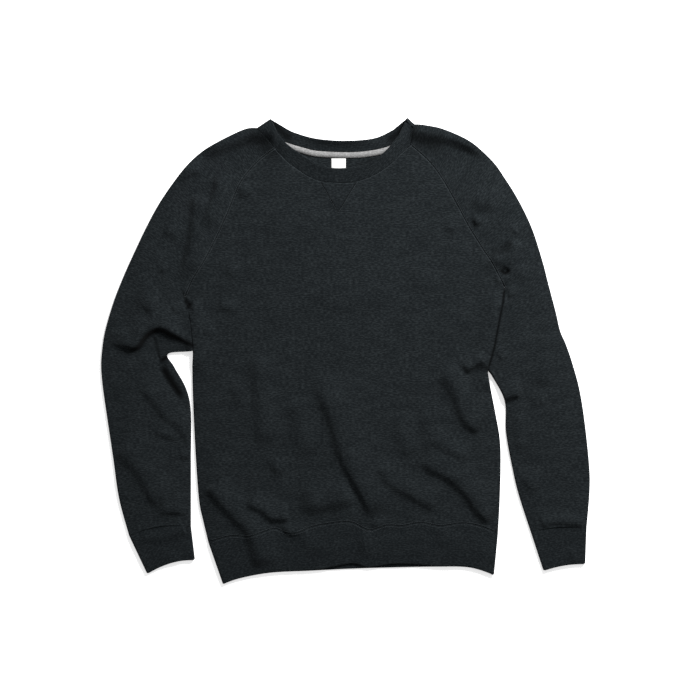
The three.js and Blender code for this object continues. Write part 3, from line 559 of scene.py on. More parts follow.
def over(line, x, y, shape):
    """A shape across a line, worked out only near it."""
    x, y = np.asarray(x, float), np.asarray(y, float)
    rise = np.zeros(np.shape(x))
    near = line.near(x, y)
    if near.any():
        across, along, fade = line(x[near], y[near])
        rise[near] = shape(across, along) * fade
    return rise


def between(sizes, along):
    """A size that may change from a crease's start to its end."""
    first, last = sizes if isinstance(sizes, tuple) else (sizes, sizes)
    return mix(first, last, along)


def crease_shape(height, steep, gentle, hand):
    """A climb across the steep side, part of it spread wide, then a slow fall past the crest."""
    def shape(across, along):
        s = across * hand
        narrow = between(steep, along)
        wide = SPREAD * narrow
        climb = mix(
            smooth((s + narrow) / (2 * narrow)), smooth((s + wide) / (2 * wide)), SPREAD_SHARE
        )
        fall = np.exp(-((np.maximum(s - narrow, 0) / between(gentle, along)) ** 2))
        return height * climb * fall
    return shape


def trough_shape(depth, width):
    return lambda across, along: depth * np.exp(-((across / width) ** 2))


def lines_of(creases):
    return [
        (
            Line(path, ends, 2.2 * np.max(gentle) + np.max(steep)),
            crease_shape(height, steep, gentle, hand),
        )
        for path, height, steep, gentle, hand, ends in creases
    ]


crease_lines, elbow_lines = lines_of(CREASES), lines_of(ELBOW_CREASES)
groove_lines = [
    (Line(path, ends, 3 * width), trough_shape(-depth, width)) for path, depth, width, ends in GROOVES
]
# Painted shade paths, each read across its line
painted_shade_lines = [
    (Line(path, ends, 3 * width), trough_shape(depth, width), below)
    for path, depth, width, ends, below in PAINTED_SHADE_PATHS
]


def waves(x, y):
    """The cloth's slow unevenness, from many small waves of mixed length and direction."""
    chance = np.random.default_rng(11)
    total = np.zeros(np.shape(x))
    for _ in range(WAVES):
        long = chance.uniform(*WAVE_LENGTHS)
        way, start = chance.uniform(0, 2 * math.pi, 2)
        along = x * math.cos(way) + y * math.sin(way)
        total = total + long * np.sin(2 * math.pi * along / long + start)
    return total * WAVE_SLOPE / (2 * math.pi)


def folds(x, y):
    belly = trough_shape(BELLY_SWELL, BELLY_WIDTH)(away_from(BELLY, x, y), 0)
    creases = sum(over(line, x, y, shape) for line, shape in crease_lines + groove_lines)
    return belly + creases + waves(x, y)


def elbow_folds(x, y):
    return sum(over(line, x, y, shape) for line, shape in elbow_lines)


# Painted shade: how far each point's colour is darkened toward black
def painted_shade_at(x, y, z):
    dark = [over(line, x, y, shape) * (z < below) for line, shape, below in painted_shade_lines]
    return np.maximum.reduce(dark)


def overlap_share(item, y):
    return smooth((item["top"] - y) / LIFT_RISE) * smooth((y - item["low"]) / LIFT_RISE + 1)


def lift(x, y):
    raised = np.zeros(np.shape(x))
    for item in OVERLAPS:
        inside = (x - side_x(item["side"], y)) * item["inward"]
        raised += LIFT * overlap_share(item, y) * (1 - smooth((inside - LIFT_FLAT) / LIFT_FALL))
    return raised


def near_body(x, y, far):
    """1 along a body side that lies over a sleeve, and 0 away from it."""
    near = [
        overlap_share(item, y) * smooth(1.3 - np.abs(x - side_x(item["side"], y)) / far)
        for item in OVERLAPS
    ]
    return np.maximum.reduce(near)


def under_body(x, y):
    """1 where a sleeve passes under the body's side, where it lies flat, and 0 away from it."""
    most = np.zeros(np.shape(x))
    for item in OVERLAPS:
        inside = (x - side_x(item["side"], y)) * item["inward"]
        near = smooth((inside + UNDER_REACH) / UNDER_FADE) * (1 - smooth(inside / LIFT_FALL - 1))
        most = np.maximum(most, overlap_share(item, y) * near)
    return most


def puffed(away):
    return PUFF * (1 - np.exp(-np.maximum(away - STACK / 2, 0) / PUFF_FALL))


def body_puff(x, y):
    return puffed(np.minimum(away_from(SIDE_LINES[0], x, y), away_from(SIDE_LINES[1], x, y)))


def sleeve_puff(x, y):
    away = [away_from(line, x, y) for line in ARM_LINES]
    return puffed(np.minimum.reduce(away))


def seam_dip(x, y):
    dips = [np.exp(-((away_from(line, x, y) / SEAM_SINK_WIDTH) ** 2)) for line in SEAM_LINES]
    return SEAM_SINK * np.maximum.reduce(dips)


def flat_bottom(x, y):
    return np.zeros(np.shape(x))


def sleeve_top(x, y):
    risen = folds(x, y) + elbow_folds(x, y) + sleeve_puff(x, y)
    beside = mix(risen, np.minimum(risen, UNDER_HEIGHT), near_body(x, y, BESIDE_REACH))
    beside = np.maximum(beside, BESIDE_HEIGHT * near_body(x, y, BESIDE_CLOSE))
    under = under_body(x, y)
    return STACK + beside * (1 - under) - UNDER_PRESS * under - seam_dip(x, y)


def in_insert(x, y):
    """1 inside the V insert, falling to 0 toward its edges."""
    neck = np.array([neck_front(np.array(f)) for f in INSERT_NECK])
    half = (neck[1, 0] - neck[0, 0]) / 2
    middle, top, tip = neck[:, 0].mean(), neck[:, 1].mean() + 3, np.array(INSERT_TIP, float)
    up = (y - tip[1]) / (top - tip[1])
    aside = np.abs(x - mix(tip[0], middle, up))
    return smooth((half * up + INSERT_TIP_WIDTH / 2 - aside) / 3 - 0.4) * (up > 0) * (up < 1.1)


def body_top(x, y):
    return STACK + folds(x, y) + body_puff(x, y) + lift(x, y) - seam_dip(x, y)


def front_top(x, y):
    return body_top(x, y) - INSERT_SUNK * in_insert(x, y)


def rib_top(x, y):
    return STACK + RIB_EXTRA + folds(x, y)


def hem_top(x, y):
    """The band's folds die out towards its free edge, which lies flat on the back's."""
    risen = folds(x, y) + HEM_PUFF_SHARE * body_puff(x, y)
    back = smooth((away_from(HEM_EDGE, x, y) - HEM_EDGE_FLAT) / HEM_EDGE_RISE)
    return STACK + RIB_EXTRA + risen * mix(HEM_EDGE_SHARE, 1.0, back)


SLEEVE_LEVEL = (sleeve_top, flat_bottom)
FRONT_LEVEL = (front_top, lift)
BACK_LEVEL = (body_top, lift)
RIB_LEVEL = (rib_top, flat_bottom)
HEM_LEVEL = (hem_top, flat_bottom)


def slope_normal(height, x, y):
    e = 0.5
    dx = (height(x + e, y) - height(x - e, y)) / (2 * e)
    dy = (height(x, y + e) - height(x, y - e)) / (2 * e)
    return unit(np.stack([-dx, -dy, np.ones(np.shape(x))], axis=-1))


def skin(place, level):
    """The outer skin of a grid of plan places. turn is 90 on the upper layer, -90 on the lower one
    and between them on a rolled fold, whose centre line lies at (x, y)."""
    top, bottom = level
    x, y = place["at"][..., 0], place["at"][..., 1]
    a = np.radians(place["turn"])
    low = bottom(x, y) + place.get("rise", 0.0)
    high = top(x, y) + place.get("lean", 0.0)
    half = (high - low) / 2
    z = low + half * (1 + np.sin(a))
    reach = place.get("roll", STACK / 2) * np.cos(a)
    out = place["out"]
    return np.stack([x + reach * out[..., 0], y + reach * out[..., 1], z], axis=-1)


# Meshes
def placed(name, data):
    obj = bpy.data.objects.new(name, data)
    bpy.context.scene.collection.objects.link(obj)
    return obj


def mesh_object(name, vertices, faces, material, uv, shade, dark):
    mesh = bpy.data.meshes.new(name)
    mesh.from_pydata((vertices * MM).tolist(), [], faces.tolist())
    # The painted_shade attribute holds painted shade, which darkens the cloth's colour
    mesh.attributes.new("painted_shade", "FLOAT", "POINT").data.foreach_set("value", dark)
    layer = mesh.uv_layers.new(name="cloth")
    layer.data.foreach_set("uv", (uv * MM).ravel())
    mesh.polygons.foreach_set("use_smooth", shade)
    mesh.update()
    mesh.materials.append(material)
    return placed(name, mesh)


def vertex_normals(points, quads):
    a, b, c, d = (points[quads[:, k]] for k in range(4))
    n = np.cross(c - a, d - b)
    total = np.zeros_like(points)
    for k in range(4):
        np.add.at(total, quads[:, k], n)
    return unit(total)


def wall(name, points, thickness, material, uv, closed_rows=None, flip=False, taper=None):
    """A closed wall of cloth. The grid of points is its outer skin, the inner skin lies one
    thickness in, and its free edges are closed by flat strips. Neither skin goes through the
    table. In the rows marked closed the last column is the first one again. taper thins the wall
    by row, about its middle."""
    rows, columns = points.shape[:2]
    count = rows * columns
    plain = np.arange(count).reshape(rows, columns)
    number = plain.copy()
    if closed_rows is not None:
        number[closed_rows, -1] = number[closed_rows, 0]

    def corners(ids):
        quads = np.stack([ids[:-1, :-1], ids[:-1, 1:], ids[1:, 1:], ids[1:, :-1]], axis=-1)
        quads = quads.reshape(-1, 4)
        return quads[:, ::-1] if flip else quads

    quads, uv_ids = corners(number), corners(plain)
    outer = points.reshape(-1, 3)
    normals = vertex_normals(outer, quads)
    share = np.ones(count) if taper is None else np.repeat(taper, columns)
    outer = outer - normals * (thickness * (1 - share) / 2)[:, None]
    inner = outer - normals * (thickness * share)[:, None]
    edges = {}
    for quad, ids in zip(quads.tolist(), uv_ids.tolist()):
        for s in range(4):
            edges[(quad[s], quad[(s + 1) % 4])] = (ids[s], ids[(s + 1) % 4])
    rim = [(e, ids) for e, ids in edges.items() if (e[1], e[0]) not in edges]
    rims = np.array([(b, a, a + count, b + count) for (a, b), _ in rim])
    rim_uv = np.array([(b, a, a, b) for _, (a, b) in rim])
    faces = np.concatenate([quads, quads[:, ::-1] + count, rims])
    face_uv = np.concatenate([uv_ids, uv_ids[:, ::-1], rim_uv])
    shade = np.arange(len(faces)) < 2 * len(quads)
    outer[:, 2] = np.maximum(outer[:, 2], 0)
    inner[:, 2] = np.maximum(inner[:, 2], INNER_FLOOR)
    vertices = np.concatenate([outer, inner])
    used = np.unique(faces)
    renumber = np.zeros(len(vertices), int)
    renumber[used] = np.arange(len(used))
    flat_uv = uv.reshape(-1, 2)[face_uv.ravel()]
    kept = vertices[used]
    # Painted shade on the upper skins, where light hardly reaches
    dark = np.where(kept[:, 2] > FLEECE / 2, painted_shade_at(*kept.T), 0)
    return mesh_object(name, kept, renumber[faces], material, flat_uv, shade, dark)


def spread(near, width, columns, far=None):
    """Distances across a row: the near ones from each side, and the rest evenly between."""
    last = near if far is None else far
    first, final = near[-1], width - last[-1]
    middle = np.linspace(first, final, columns + 1)[1:-1]
    return np.concatenate([near, middle, width - np.array(last[::-1])])


def shifted(curve, f, far):
    return curve(f) + curve.left(f) * far


# The front and the back panel
def panel(name, hem, neck, raglan_right, raglan_left, columns, step, upper, material):
    seam_right, seam_left = Curve(raglan_right), Curve(raglan_left)
    sign = 1 if upper else -1
    side_long = side_right.length
    seam_long = seam_right.length
    insets = np.array(SEAM_INSETS)
    rows_side = spread(insets, side_long, round(side_long / step), [0, 1.5, 3])
    rows_seam = spread([0, 1.5, 3], seam_long, round(seam_long / step), insets)
    v = np.concatenate([
        rows_side / side_long * SIDE_SHARE,
        SIDE_SHARE + rows_seam[1:] / seam_long * (1 - SIDE_SHARE),
    ])
    rolled = np.arange(len(v)) < len(rows_side)

    def edge(side, seam, f):
        low, high = f / SIDE_SHARE, (f - SIDE_SHARE) / (1 - SIDE_SHARE)
        return np.where((f <= SIDE_SHARE)[..., None], side(low), seam(high))

    def right(f):
        return edge(side_right, seam_right, f)

    def left(f):
        return edge(side_left, seam_left, f)

    chord = np.linalg.norm(right(v) - left(v), axis=1)
    wide = mix(chord, neck.length, smooth((v - 0.9) / 0.1))
    turns = np.array(ROLL_TURNS, float)
    near = len(turns)
    u = np.zeros((len(v), columns + 2 * near - 1))
    for j, width in enumerate(wide):
        inset = insets if not rolled[j] else np.linspace(0, STACK / 2, near)
        u[j] = spread(inset, width, columns) / width
    vv = np.repeat(v[:, None], u.shape[1], axis=1)
    across = mix(hem(u), neck(u), vv[..., None])
    along = mix(right(v)[:, None], left(v)[:, None], u[..., None])
    corner = [np.array(p, float) for p in (hem(0.0), hem(1.0), neck(0.0), neck(1.0))]
    corners = mix(
        mix(corner[0], corner[1], u[..., None]), mix(corner[2], corner[3], u[..., None]),
        vv[..., None],
    )
    at = across + along - corners
    out = np.zeros_like(at)
    turn = np.full(u.shape, 90.0 * sign)
    lefts = turn_left(unit(right(np.minimum(v + 0.01, 1)) - right(np.maximum(v - 0.01, 0))))
    rights = -turn_left(unit(left(np.minimum(v + 0.01, 1)) - left(np.maximum(v - 0.01, 0))))
    half = u.shape[1] // 2
    out[:, :half] = lefts[:, None]
    out[:, half:] = rights[:, None]
    for j in np.nonzero(rolled)[0]:
        at[j, :near] = right(v[j : j + 1])[0] - lefts[j] * (STACK / 2 + HALF_GAP)
        at[j, -near:] = left(v[j : j + 1])[0] - rights[j] * (STACK / 2 + HALF_GAP)
        turn[j, :near] = turns * sign
        turn[j, -near:] = turns[::-1] * sign
    at[~rolled, 0] -= lefts[~rolled] * HALF_GAP
    at[~rolled, -1] -= rights[~rolled] * HALF_GAP
    at[0] += hem.left(u[0]) * HALF_GAP
    at[-1] -= neck.left(u[-1]) * HALF_GAP
    points = skin({"at": at, "turn": turn, "out": out}, FRONT_LEVEL if upper else BACK_LEVEL)
    above = (v - SIDE_SHARE) / (1 - SIDE_SHARE) * seam_long
    for first in (True, False):
        sink_to_fold(points, v > SIDE_SHARE, above, sign, first)
    return wall(name, points, FLEECE, material, at, flip=not upper)


def sink_to_fold(points, rows, above, sign, first):
    """Near the underarm a seam's edge sinks from its layer to the middle of the side fold."""
    width = len(SEAM_INSETS)
    inset = np.array(SEAM_INSETS)
    share = np.where(rows, np.clip(1 - above / UNDERARM_RUN, 0, 1) ** 2, 0)
    drop = sign * STACK / 2 * share[:, None] * np.exp(-((inset / UNDERARM_WIDTH) ** 2))
    if first:
        points[:, :width, 2] -= drop
    else:
        points[:, -width:, 2] -= drop[:, ::-1]


# The sleeves and cuffs
def stations(table, step):
    """The inner and outer edge and the bow of sections about a step apart."""
    inner, outer = np.array(table["inner"], float), np.array(table["outer"], float)
    t = np.linspace(0, len(inner) - 1, 60 * (len(inner) - 1) + 1)
    a, b = catmull(inner, t), catmull(outer, t)
    middle = (a + b) / 2
    far = np.concatenate([[0], np.cumsum(np.linalg.norm(np.diff(middle, axis=0), axis=1))])
    places = spread([0, 1.5, 3], far[-1], round(far[-1] / step), SEAM_INSETS)
    rows = np.interp(places, far, t)
    bow = np.interp(rows, np.arange(len(inner)), np.array(table["bow"], float))
    return catmull(inner, rows), catmull(outer, rows), bow


def sections(front, back, outer, bow, open_rows, upper, lower, roll):
    """Places of arm sections: the upper layer from the inner to the outer fold, then the lower one
    back again. An open section runs from one raglan seam over the outer fold to the other."""
    turns = np.array(ROLL_TURNS, float)
    near = len(turns)
    rows = len(front)
    out = unit(outer - front)
    reach_up = np.linalg.norm(outer - front, axis=1)
    reach_low = np.linalg.norm(outer - back, axis=1)
    columns = 2 * near + upper + lower - 2 + 2 * near - 1
    at = np.zeros((rows, columns, 2))
    turn = np.zeros((rows, columns))
    outs = np.zeros((rows, columns, 2))
    insets = np.array(SEAM_INSETS)

    def line(start, length, j, inset):
        way = unit(outer[j] - start[j])
        f = inset / length[j]
        p = start[j] + way * inset[:, None]
        p[:, 1] -= bow[j] * 4 * f * (1 - f)
        return p

    for j in range(rows):
        first = insets if open_rows[j] else np.full(near, roll)
        up = np.linspace(first[-1], reach_up[j] - roll, upper + 1)[1:-1]
        down = np.linspace(reach_low[j] - roll, first[-1], lower + 1)[1:-1]
        far_up = np.array([reach_up[j] - roll])
        far_low = np.array([reach_low[j] - roll])
        bend = line(front, reach_up, j, far_up), line(back, reach_low, j, far_low)
        arc = np.concatenate([turns[::-1], -turns[1:]])
        bends = mix(bend[0], bend[1], ((90 - arc) / 180)[:, None])
        at[j] = np.concatenate([
            line(front, reach_up, j, first), line(front, reach_up, j, up), bends,
            line(back, reach_low, j, down), line(back, reach_low, j, first[::-1]),
        ])
        start = np.full(near, 90.0) if open_rows[j] else turns
        turn[j] = np.concatenate([
            start, np.full(upper - 1, 90.0), arc, np.full(lower - 1, -90.0), -start[::-1],
        ])
        outs[j] = out[j]
        outs[j, :near] = -out[j]
        outs[j, -near:] = -out[j]
    return {"at": at, "turn": turn, "out": outs, "roll": roll}


def cloth_uv(points, start=0.0):
    """Distances along the cloth: across each row from its middle, and from row to row."""
    rows, columns = points.shape[:2]
    across = np.linalg.norm(np.diff(points, axis=1), axis=2)
    across = np.concatenate([np.zeros((rows, 1)), np.cumsum(across, axis=1)], axis=1)
    middle = across[:, columns // 3][:, None]
    down = np.linalg.norm(np.diff(points, axis=0), axis=2).mean(axis=1)
    down = start + np.concatenate([[0], np.cumsum(down)])
    return np.stack([across - middle, np.repeat(down[:, None], columns, axis=1)], axis=-1)


def sleeve(name, arm, material):
    seam_front, seam_back = Curve(arm["front"]), Curve(arm["back"])
    shoulder = Curve(arm["shoulder"])
    side = arm["side"]
    long = seam_front.length
    f = 1 - spread(SEAM_INSETS, long, round(long / SLEEVE_STEP), [0, 1.5, 3]) / long
    front = shifted(seam_front, f, HALF_GAP * side)
    back = np.where((f > 0)[:, None], seam_back(f), seam_front(f))
    back = back + seam_front.left(f) * HALF_GAP * side
    outer = shoulder(1 - f)
    inner_arm, outer_arm, bow = stations(arm["table"], SLEEVE_STEP)
    fronts = np.concatenate([front, inner_arm[1:]])
    backs = np.concatenate([back, inner_arm[1:]])
    outers = np.concatenate([outer, outer_arm[1:]])
    bows = np.concatenate([np.zeros(len(f)), bow[1:]])
    open_rows = np.arange(len(fronts)) < len(f) - 1
    move_row(fronts, backs, outers, 0, side * HALF_GAP)
    move_row(fronts, backs, outers, -1, -side * HALF_GAP)
    place = sections(
        fronts, backs, outers, bows, open_rows, SLEEVE_UPPER, SLEEVE_LOWER, STACK / 2
    )
    points = skin(place, SLEEVE_LEVEL)
    above = np.concatenate([f * long, np.zeros(len(bow) - 1)])
    sink_to_fold(points, open_rows, above, 1, True)
    sink_to_fold(points, open_rows, above, -1, False)
    uv = cloth_uv(points, arm["start"])
    return wall(name, points, FLEECE, material, uv, closed_rows=~open_rows, flip=side < 0)


def move_row(fronts, backs, outers, j, far):
    way = turn_left(unit(outers[j] - fronts[j])) * far
    fronts[j] += way
    backs[j] += way
    outers[j] += way


def edge_taper(distances, thickness):
    """How a folded free edge thins, by the distance from it."""
    r = thickness / 2
    d = np.clip(distances, THINNEST_EDGE, r)
    return np.sqrt(r**2 - (r - d) ** 2) / r


def band_shares(width, rows):
    """Shares across a band from its seam to its free edge, closer together at both."""
    return spread([0, 0.5, 1.1, 1.8], width, rows, [0, 0.15, 0.5, 1.0, 1.5]) / width


def cuff(name, arm, material):
    table, edge, side = arm["table"], arm["edge"], arm["side"]
    inner, outer = np.array(table["inner"][-1], float), np.array(table["outer"][-1], float)
    far_inner, far_outer = np.array(edge["inner"], float), np.array(edge["outer"], float)
    width = np.linalg.norm((far_inner + far_outer - inner - outer) / 2)
    f = band_shares(width, BAND_ROWS)
    fronts = mix(inner, far_inner, f[:, None])
    outers = mix(outer, far_outer, f[:, None])
    bows = mix(table["bow"][-1], edge["bow"], f)
    backs = fronts.copy()
    move_row(fronts, backs, outers, 0, side * HALF_GAP)
    backs[0] = fronts[0]
    open_rows = np.zeros(len(f), bool)
    place = sections(fronts, backs, outers, bows, open_rows, CUFF_UPPER, CUFF_LOWER, RIB_ROLL)
    points = skin(place, RIB_LEVEL)
    taper = edge_taper((1 - f) * width, RIB)
    uv = cloth_uv(points)
    return wall(
        name, points, RIB, material, uv, closed_rows=~open_rows, flip=side < 0, taper=taper
    )


# Bands
def band(name, parts, level, width, material, flip):
    """A band sewn all round an opening. Each part is a run of stations, from the seam to the free
    edge: their places, turns, outward ways, roll and rise."""
    keys = ("at", "turn", "out", "roll", "rise", "lean")
    place = {key: np.concatenate([part[key] for part in parts]) for key in keys}
    place = {key: np.swapaxes(value, 0, 1) for key, value in place.items()}
    place = {key: np.concatenate([value, value[:, :1]], axis=1) for key, value in place.items()}
    points = skin(place, level)
    f = band_shares(width, BAND_ROWS)
    closed_rows = np.ones(len(points), bool)
    taper = edge_taper((1 - f) * width, RIB)
    middle = points[len(points) // 2]
    steps = np.linalg.norm(np.roll(middle, -1, axis=0) - middle, axis=1)
    along = np.concatenate([[0], np.cumsum(steps)[:-1]])
    uv = np.stack([np.repeat(along[None], len(points), axis=0),
                   np.repeat(f[:, None] * width, points.shape[1], axis=1)], axis=-1)
    return wall(name, points, RIB, material, uv, closed_rows=closed_rows, flip=flip, taper=taper)


def band_part(at, turn, out, f, lean, rise=0.0):
    """Stations of a band, each from the seam to the free edge, where it leans and rises most."""
    shape = at.shape[:2]
    return {
        "at": at,
        "turn": np.broadcast_to(turn, shape),
        "out": np.broadcast_to(out, at.shape),
        "roll": np.full(shape, RIB_ROLL),
        "rise": np.broadcast_to(rise * f**2, shape),
        "lean": np.broadcast_to(lean * f, shape),
    }


def flat_part(seam, free, turn, f, rise=0.0, lean=0.0):
    """Stations between two runs of points, on one layer."""
    at = mix(seam[:, None], free[:, None], f[None, :, None])
    way = unit(free - seam)[:, None]
    return band_part(at, float(turn), way, f, lean, np.reshape(rise, (-1, 1)))


def roll_part(seam, seam_out, free, free_out, turns, f, lean=0.0):
    """Stations round a fold: every one has the same centre line and its own turn."""
    turns = np.array(turns, float)[:, None]
    at = mix(seam, free, f[:, None])
    way = unit(mix(seam_out, free_out, f[:, None]))
    return band_part(np.repeat(at[None], len(turns), axis=0), turns, way, f, lean)


def reverse_part(part):
    return {key: value[::-1] for key, value in part.items()}


def hem_band(name, material):
    width = HEM_DEPTH
    f = band_shares(width, BAND_ROWS)
    turns = ROLL_TURNS

    def layer(seam, edge, turn, step):
        long = seam.length
        u = np.linspace(RIB_ROLL / long, 1 - RIB_ROLL / long, round(long / step))[1:-1]
        return flat_part(shifted(seam, u, -HALF_GAP), edge(u), turn, f)

    def roll(share, angles):
        end = np.array(float(share))
        seam_point = shifted(hem_front, end, -HALF_GAP)
        out = turn_left(unit(seam_point - edge_front(end))) * (-1 if share else 1)
        return roll_part(
            seam_point - out * RIB_ROLL, out, edge_front(end) - out * RIB_ROLL, out, angles, f
        )

    down = [-t for t in turns[1:]]
    parts = [
        roll(0, turns),
        layer(hem_front, edge_front, 90, STEP),
        roll(1, turns[::-1] + down),
        reverse_part(layer(hem_back, edge_back, -90, 2 * STEP)),
        roll(0, down[::-1]),
    ]
    return band(name, parts, HEM_LEVEL, width, material, True)


def neckband(name, material):
    """It folds over at each shoulder notch, and its back half leans up off the table."""
    width = NECK_DEPTH
    f = band_shares(width, BAND_ROWS)
    turns = ROLL_TURNS
    down = [-t for t in turns[1:]]

    def layer(seam, fold_curve, turn, rising):
        u = np.linspace(0, 1, round(seam.length / STEP))
        rise = 0.0
        if rising:
            rise = BACK_BAND_RISE * smooth((u - 0.08) / 0.34) * smooth((0.92 - u) / 0.34)
        lean = FRONT_BAND_LEAN * (turn > 0)
        return flat_part(shifted(seam, u, HALF_GAP), fold_curve(u), turn, f, rise, lean)

    def bit(notch, corner, free_corner, turn):
        seam, tip = np.array(notch["seam"], float), np.array(notch["tip"], float)
        s = np.linspace(0, 1, 14)[1:-1, None]
        start = mix(corner, seam, s) + unit(tip - seam) * HALF_GAP
        return flat_part(start, mix(free_corner, tip, s), turn, f, lean=FRONT_BAND_LEAN * (turn > 0))

    def roll(notch, front_corner, corner, outward, angles):
        seam, tip = np.array(notch["seam"], float), np.array(notch["tip"], float)
        lean = unit(tip - seam)
        across = turn_left(lean) * outward
        centre = seam - unit(seam - corner) * RIB_ROLL + lean * NOTCH_GAP
        out = unit(seam - front_corner)
        free = tip - across * RIB_ROLL
        return roll_part(centre, out, free, across, angles, f, FRONT_BAND_LEAN)

    start, end = np.array(0.0), np.array(1.0)
    front_right, front_left = neck_front(start), neck_front(end)
    back_right, back_left = neck_back(start), neck_back(end)
    parts = [
        roll(NOTCH_RIGHT, front_right, front_right, 1, turns),
        reverse_part(bit(NOTCH_RIGHT, front_right, neck_fold_front(start), 90)),
        layer(neck_front, neck_fold_front, 90, False),
        bit(NOTCH_LEFT, front_left, neck_fold_front(end), 90),
        roll(NOTCH_LEFT, front_left, front_left, -1, turns[::-1]),
        roll(NOTCH_LEFT, front_left, back_left, -1, down),
        reverse_part(bit(NOTCH_LEFT, back_left, neck_fold_back(end), -90)),
        reverse_part(layer(neck_back, neck_fold_back, -90, True)),
        bit(NOTCH_RIGHT, back_right, neck_fold_back(start), -90),
        roll(NOTCH_RIGHT, front_right, back_right, 1, down[::-1]),
    ]
    return band(name, parts, RIB_LEVEL, width, material, False)


# Flat pieces sewn on a panel
def applied_piece(name, at, height, proud, thickness, material):
    x, y = at[..., 0], at[..., 1]
    normals = slope_normal(height, x, y)
    points = np.stack([x, y, height(x, y)], axis=-1) + normals * proud
    return wall(name, points, thickness, material, at)


def v_insert(name, material):
    """A knitted triangle in the neck's front, with painted shade along its seams."""
    f = np.linspace(0, 1, 26)[:, None, None]
    i = np.concatenate([[0, 0.015, 0.035, 0.06], np.linspace(0.09, 0.91, 24), [0.94, 0.965, 0.985, 1]])
    u = mix(INSERT_NECK[0], INSERT_NECK[1], i)
    seam = shifted(neck_front, u, -INSERT_BELOW_SEAM)
    tip = np.stack([INSERT_TIP[0] + (i - 0.5) * INSERT_TIP_WIDTH, np.full(len(i), INSERT_TIP[1])], -1)
    at = mix(tip[None], seam[None], f)
    piece = applied_piece(name, at, body_top, INSERT_PROUD, TRIM, material)
    places = np.array([v.co for v in piece.data.vertices]) / MM
    # Painted shade along both seams of the insert, where their shadow would fall
    far = np.minimum(away_from(at[:, 0], *places.T[:2]), away_from(at[:, -1], *places.T[:2]))
    dark = INSERT_SEAM_PAINTED_SHADE * np.exp(-((far / INSERT_SEAM_SHADE_WIDTH) ** 2))
    piece.data.attributes["painted_shade"].data.foreach_set("value", dark)
    return piece


def back_inside(x, y):
    return np.full(np.shape(x), FLEECE)


def neck_tape(name, material):
    u = np.linspace(0, 1, 80)
    far = np.array([TAPE_BELOW_SEAM + TAPE_WIDTH, TAPE_BELOW_SEAM + TAPE_WIDTH / 2, TAPE_BELOW_SEAM])
    rows = np.stack([shifted(neck_back, u, -d) for d in far])
    return applied_piece(name, rows, back_inside, ON_CLOTH + TRIM, TRIM, material)


def label(name, material):
    x = np.linspace(LABEL["right"], LABEL["left"], 12)
    y = np.linspace(LABEL["bottom"], LABEL["top"], 14)
    at = np.stack(np.meshgrid(x, y), axis=-1)
    return applied_piece(name, at, back_inside, ON_CLOTH + LABEL_CLOTH, LABEL_CLOTH, material)


ARMS = {
    "right": {
        "front": RAGLAN_FRONT_RIGHT,
        "back": RAGLAN_BACK_RIGHT,
        "shoulder": SHOULDER_RIGHT,
        "table": ARM_RIGHT,
        "edge": CUFF_EDGE_RIGHT,
        "side": 1,
        "start": 0.0,
    },
    "left": {
        "front": RAGLAN_FRONT_LEFT,
        "back": RAGLAN_BACK_LEFT,
        "shoulder": SHOULDER_LEFT,
        "table": ARM_LEFT,
        "edge": CUFF_EDGE_LEFT,
        "side": -1,
        "start": 700.0,
    },
}


# Materials
# A Mix node's sockets for numbers and for colours
FLOAT_A, FLOAT_B = 2, 3
COLOUR_A, COLOUR_B, MIXED_COLOUR = 6, 7, 2


def add(tree, kind, **values):
    node = tree.nodes.new(kind)
    for key, value in values.items():
        setattr(node, key, value)
    return node


def join(tree, source, target, out=0, into=0):
    """Joins an output of one node to an input of another, each by its name or number."""
    tree.links.new(source.outputs[out], target.inputs[into])


def sockets(tree, way, kinds):
    """A group's named sockets, each with its start value where it has one."""
    for name, kind, *value in kinds:
        socket = tree.interface.new_socket(name, in_out=way, socket_type="NodeSocket" + kind)
        if value:
            socket.default_value = value[0]


def noise(tree, places, scale, detail):
    node = add(tree, "ShaderNodeTexNoise")
    node.inputs["Scale"].default_value = scale
    node.inputs["Detail"].default_value = detail
    join(tree, places, node, into="Vector")
    return node


def sum_or_product(tree, operation, first, second, out=0):
    node = add(tree, "ShaderNodeMath", operation=operation)
    join(tree, first, node)
    join(tree, second, node, out, 1)
    return node


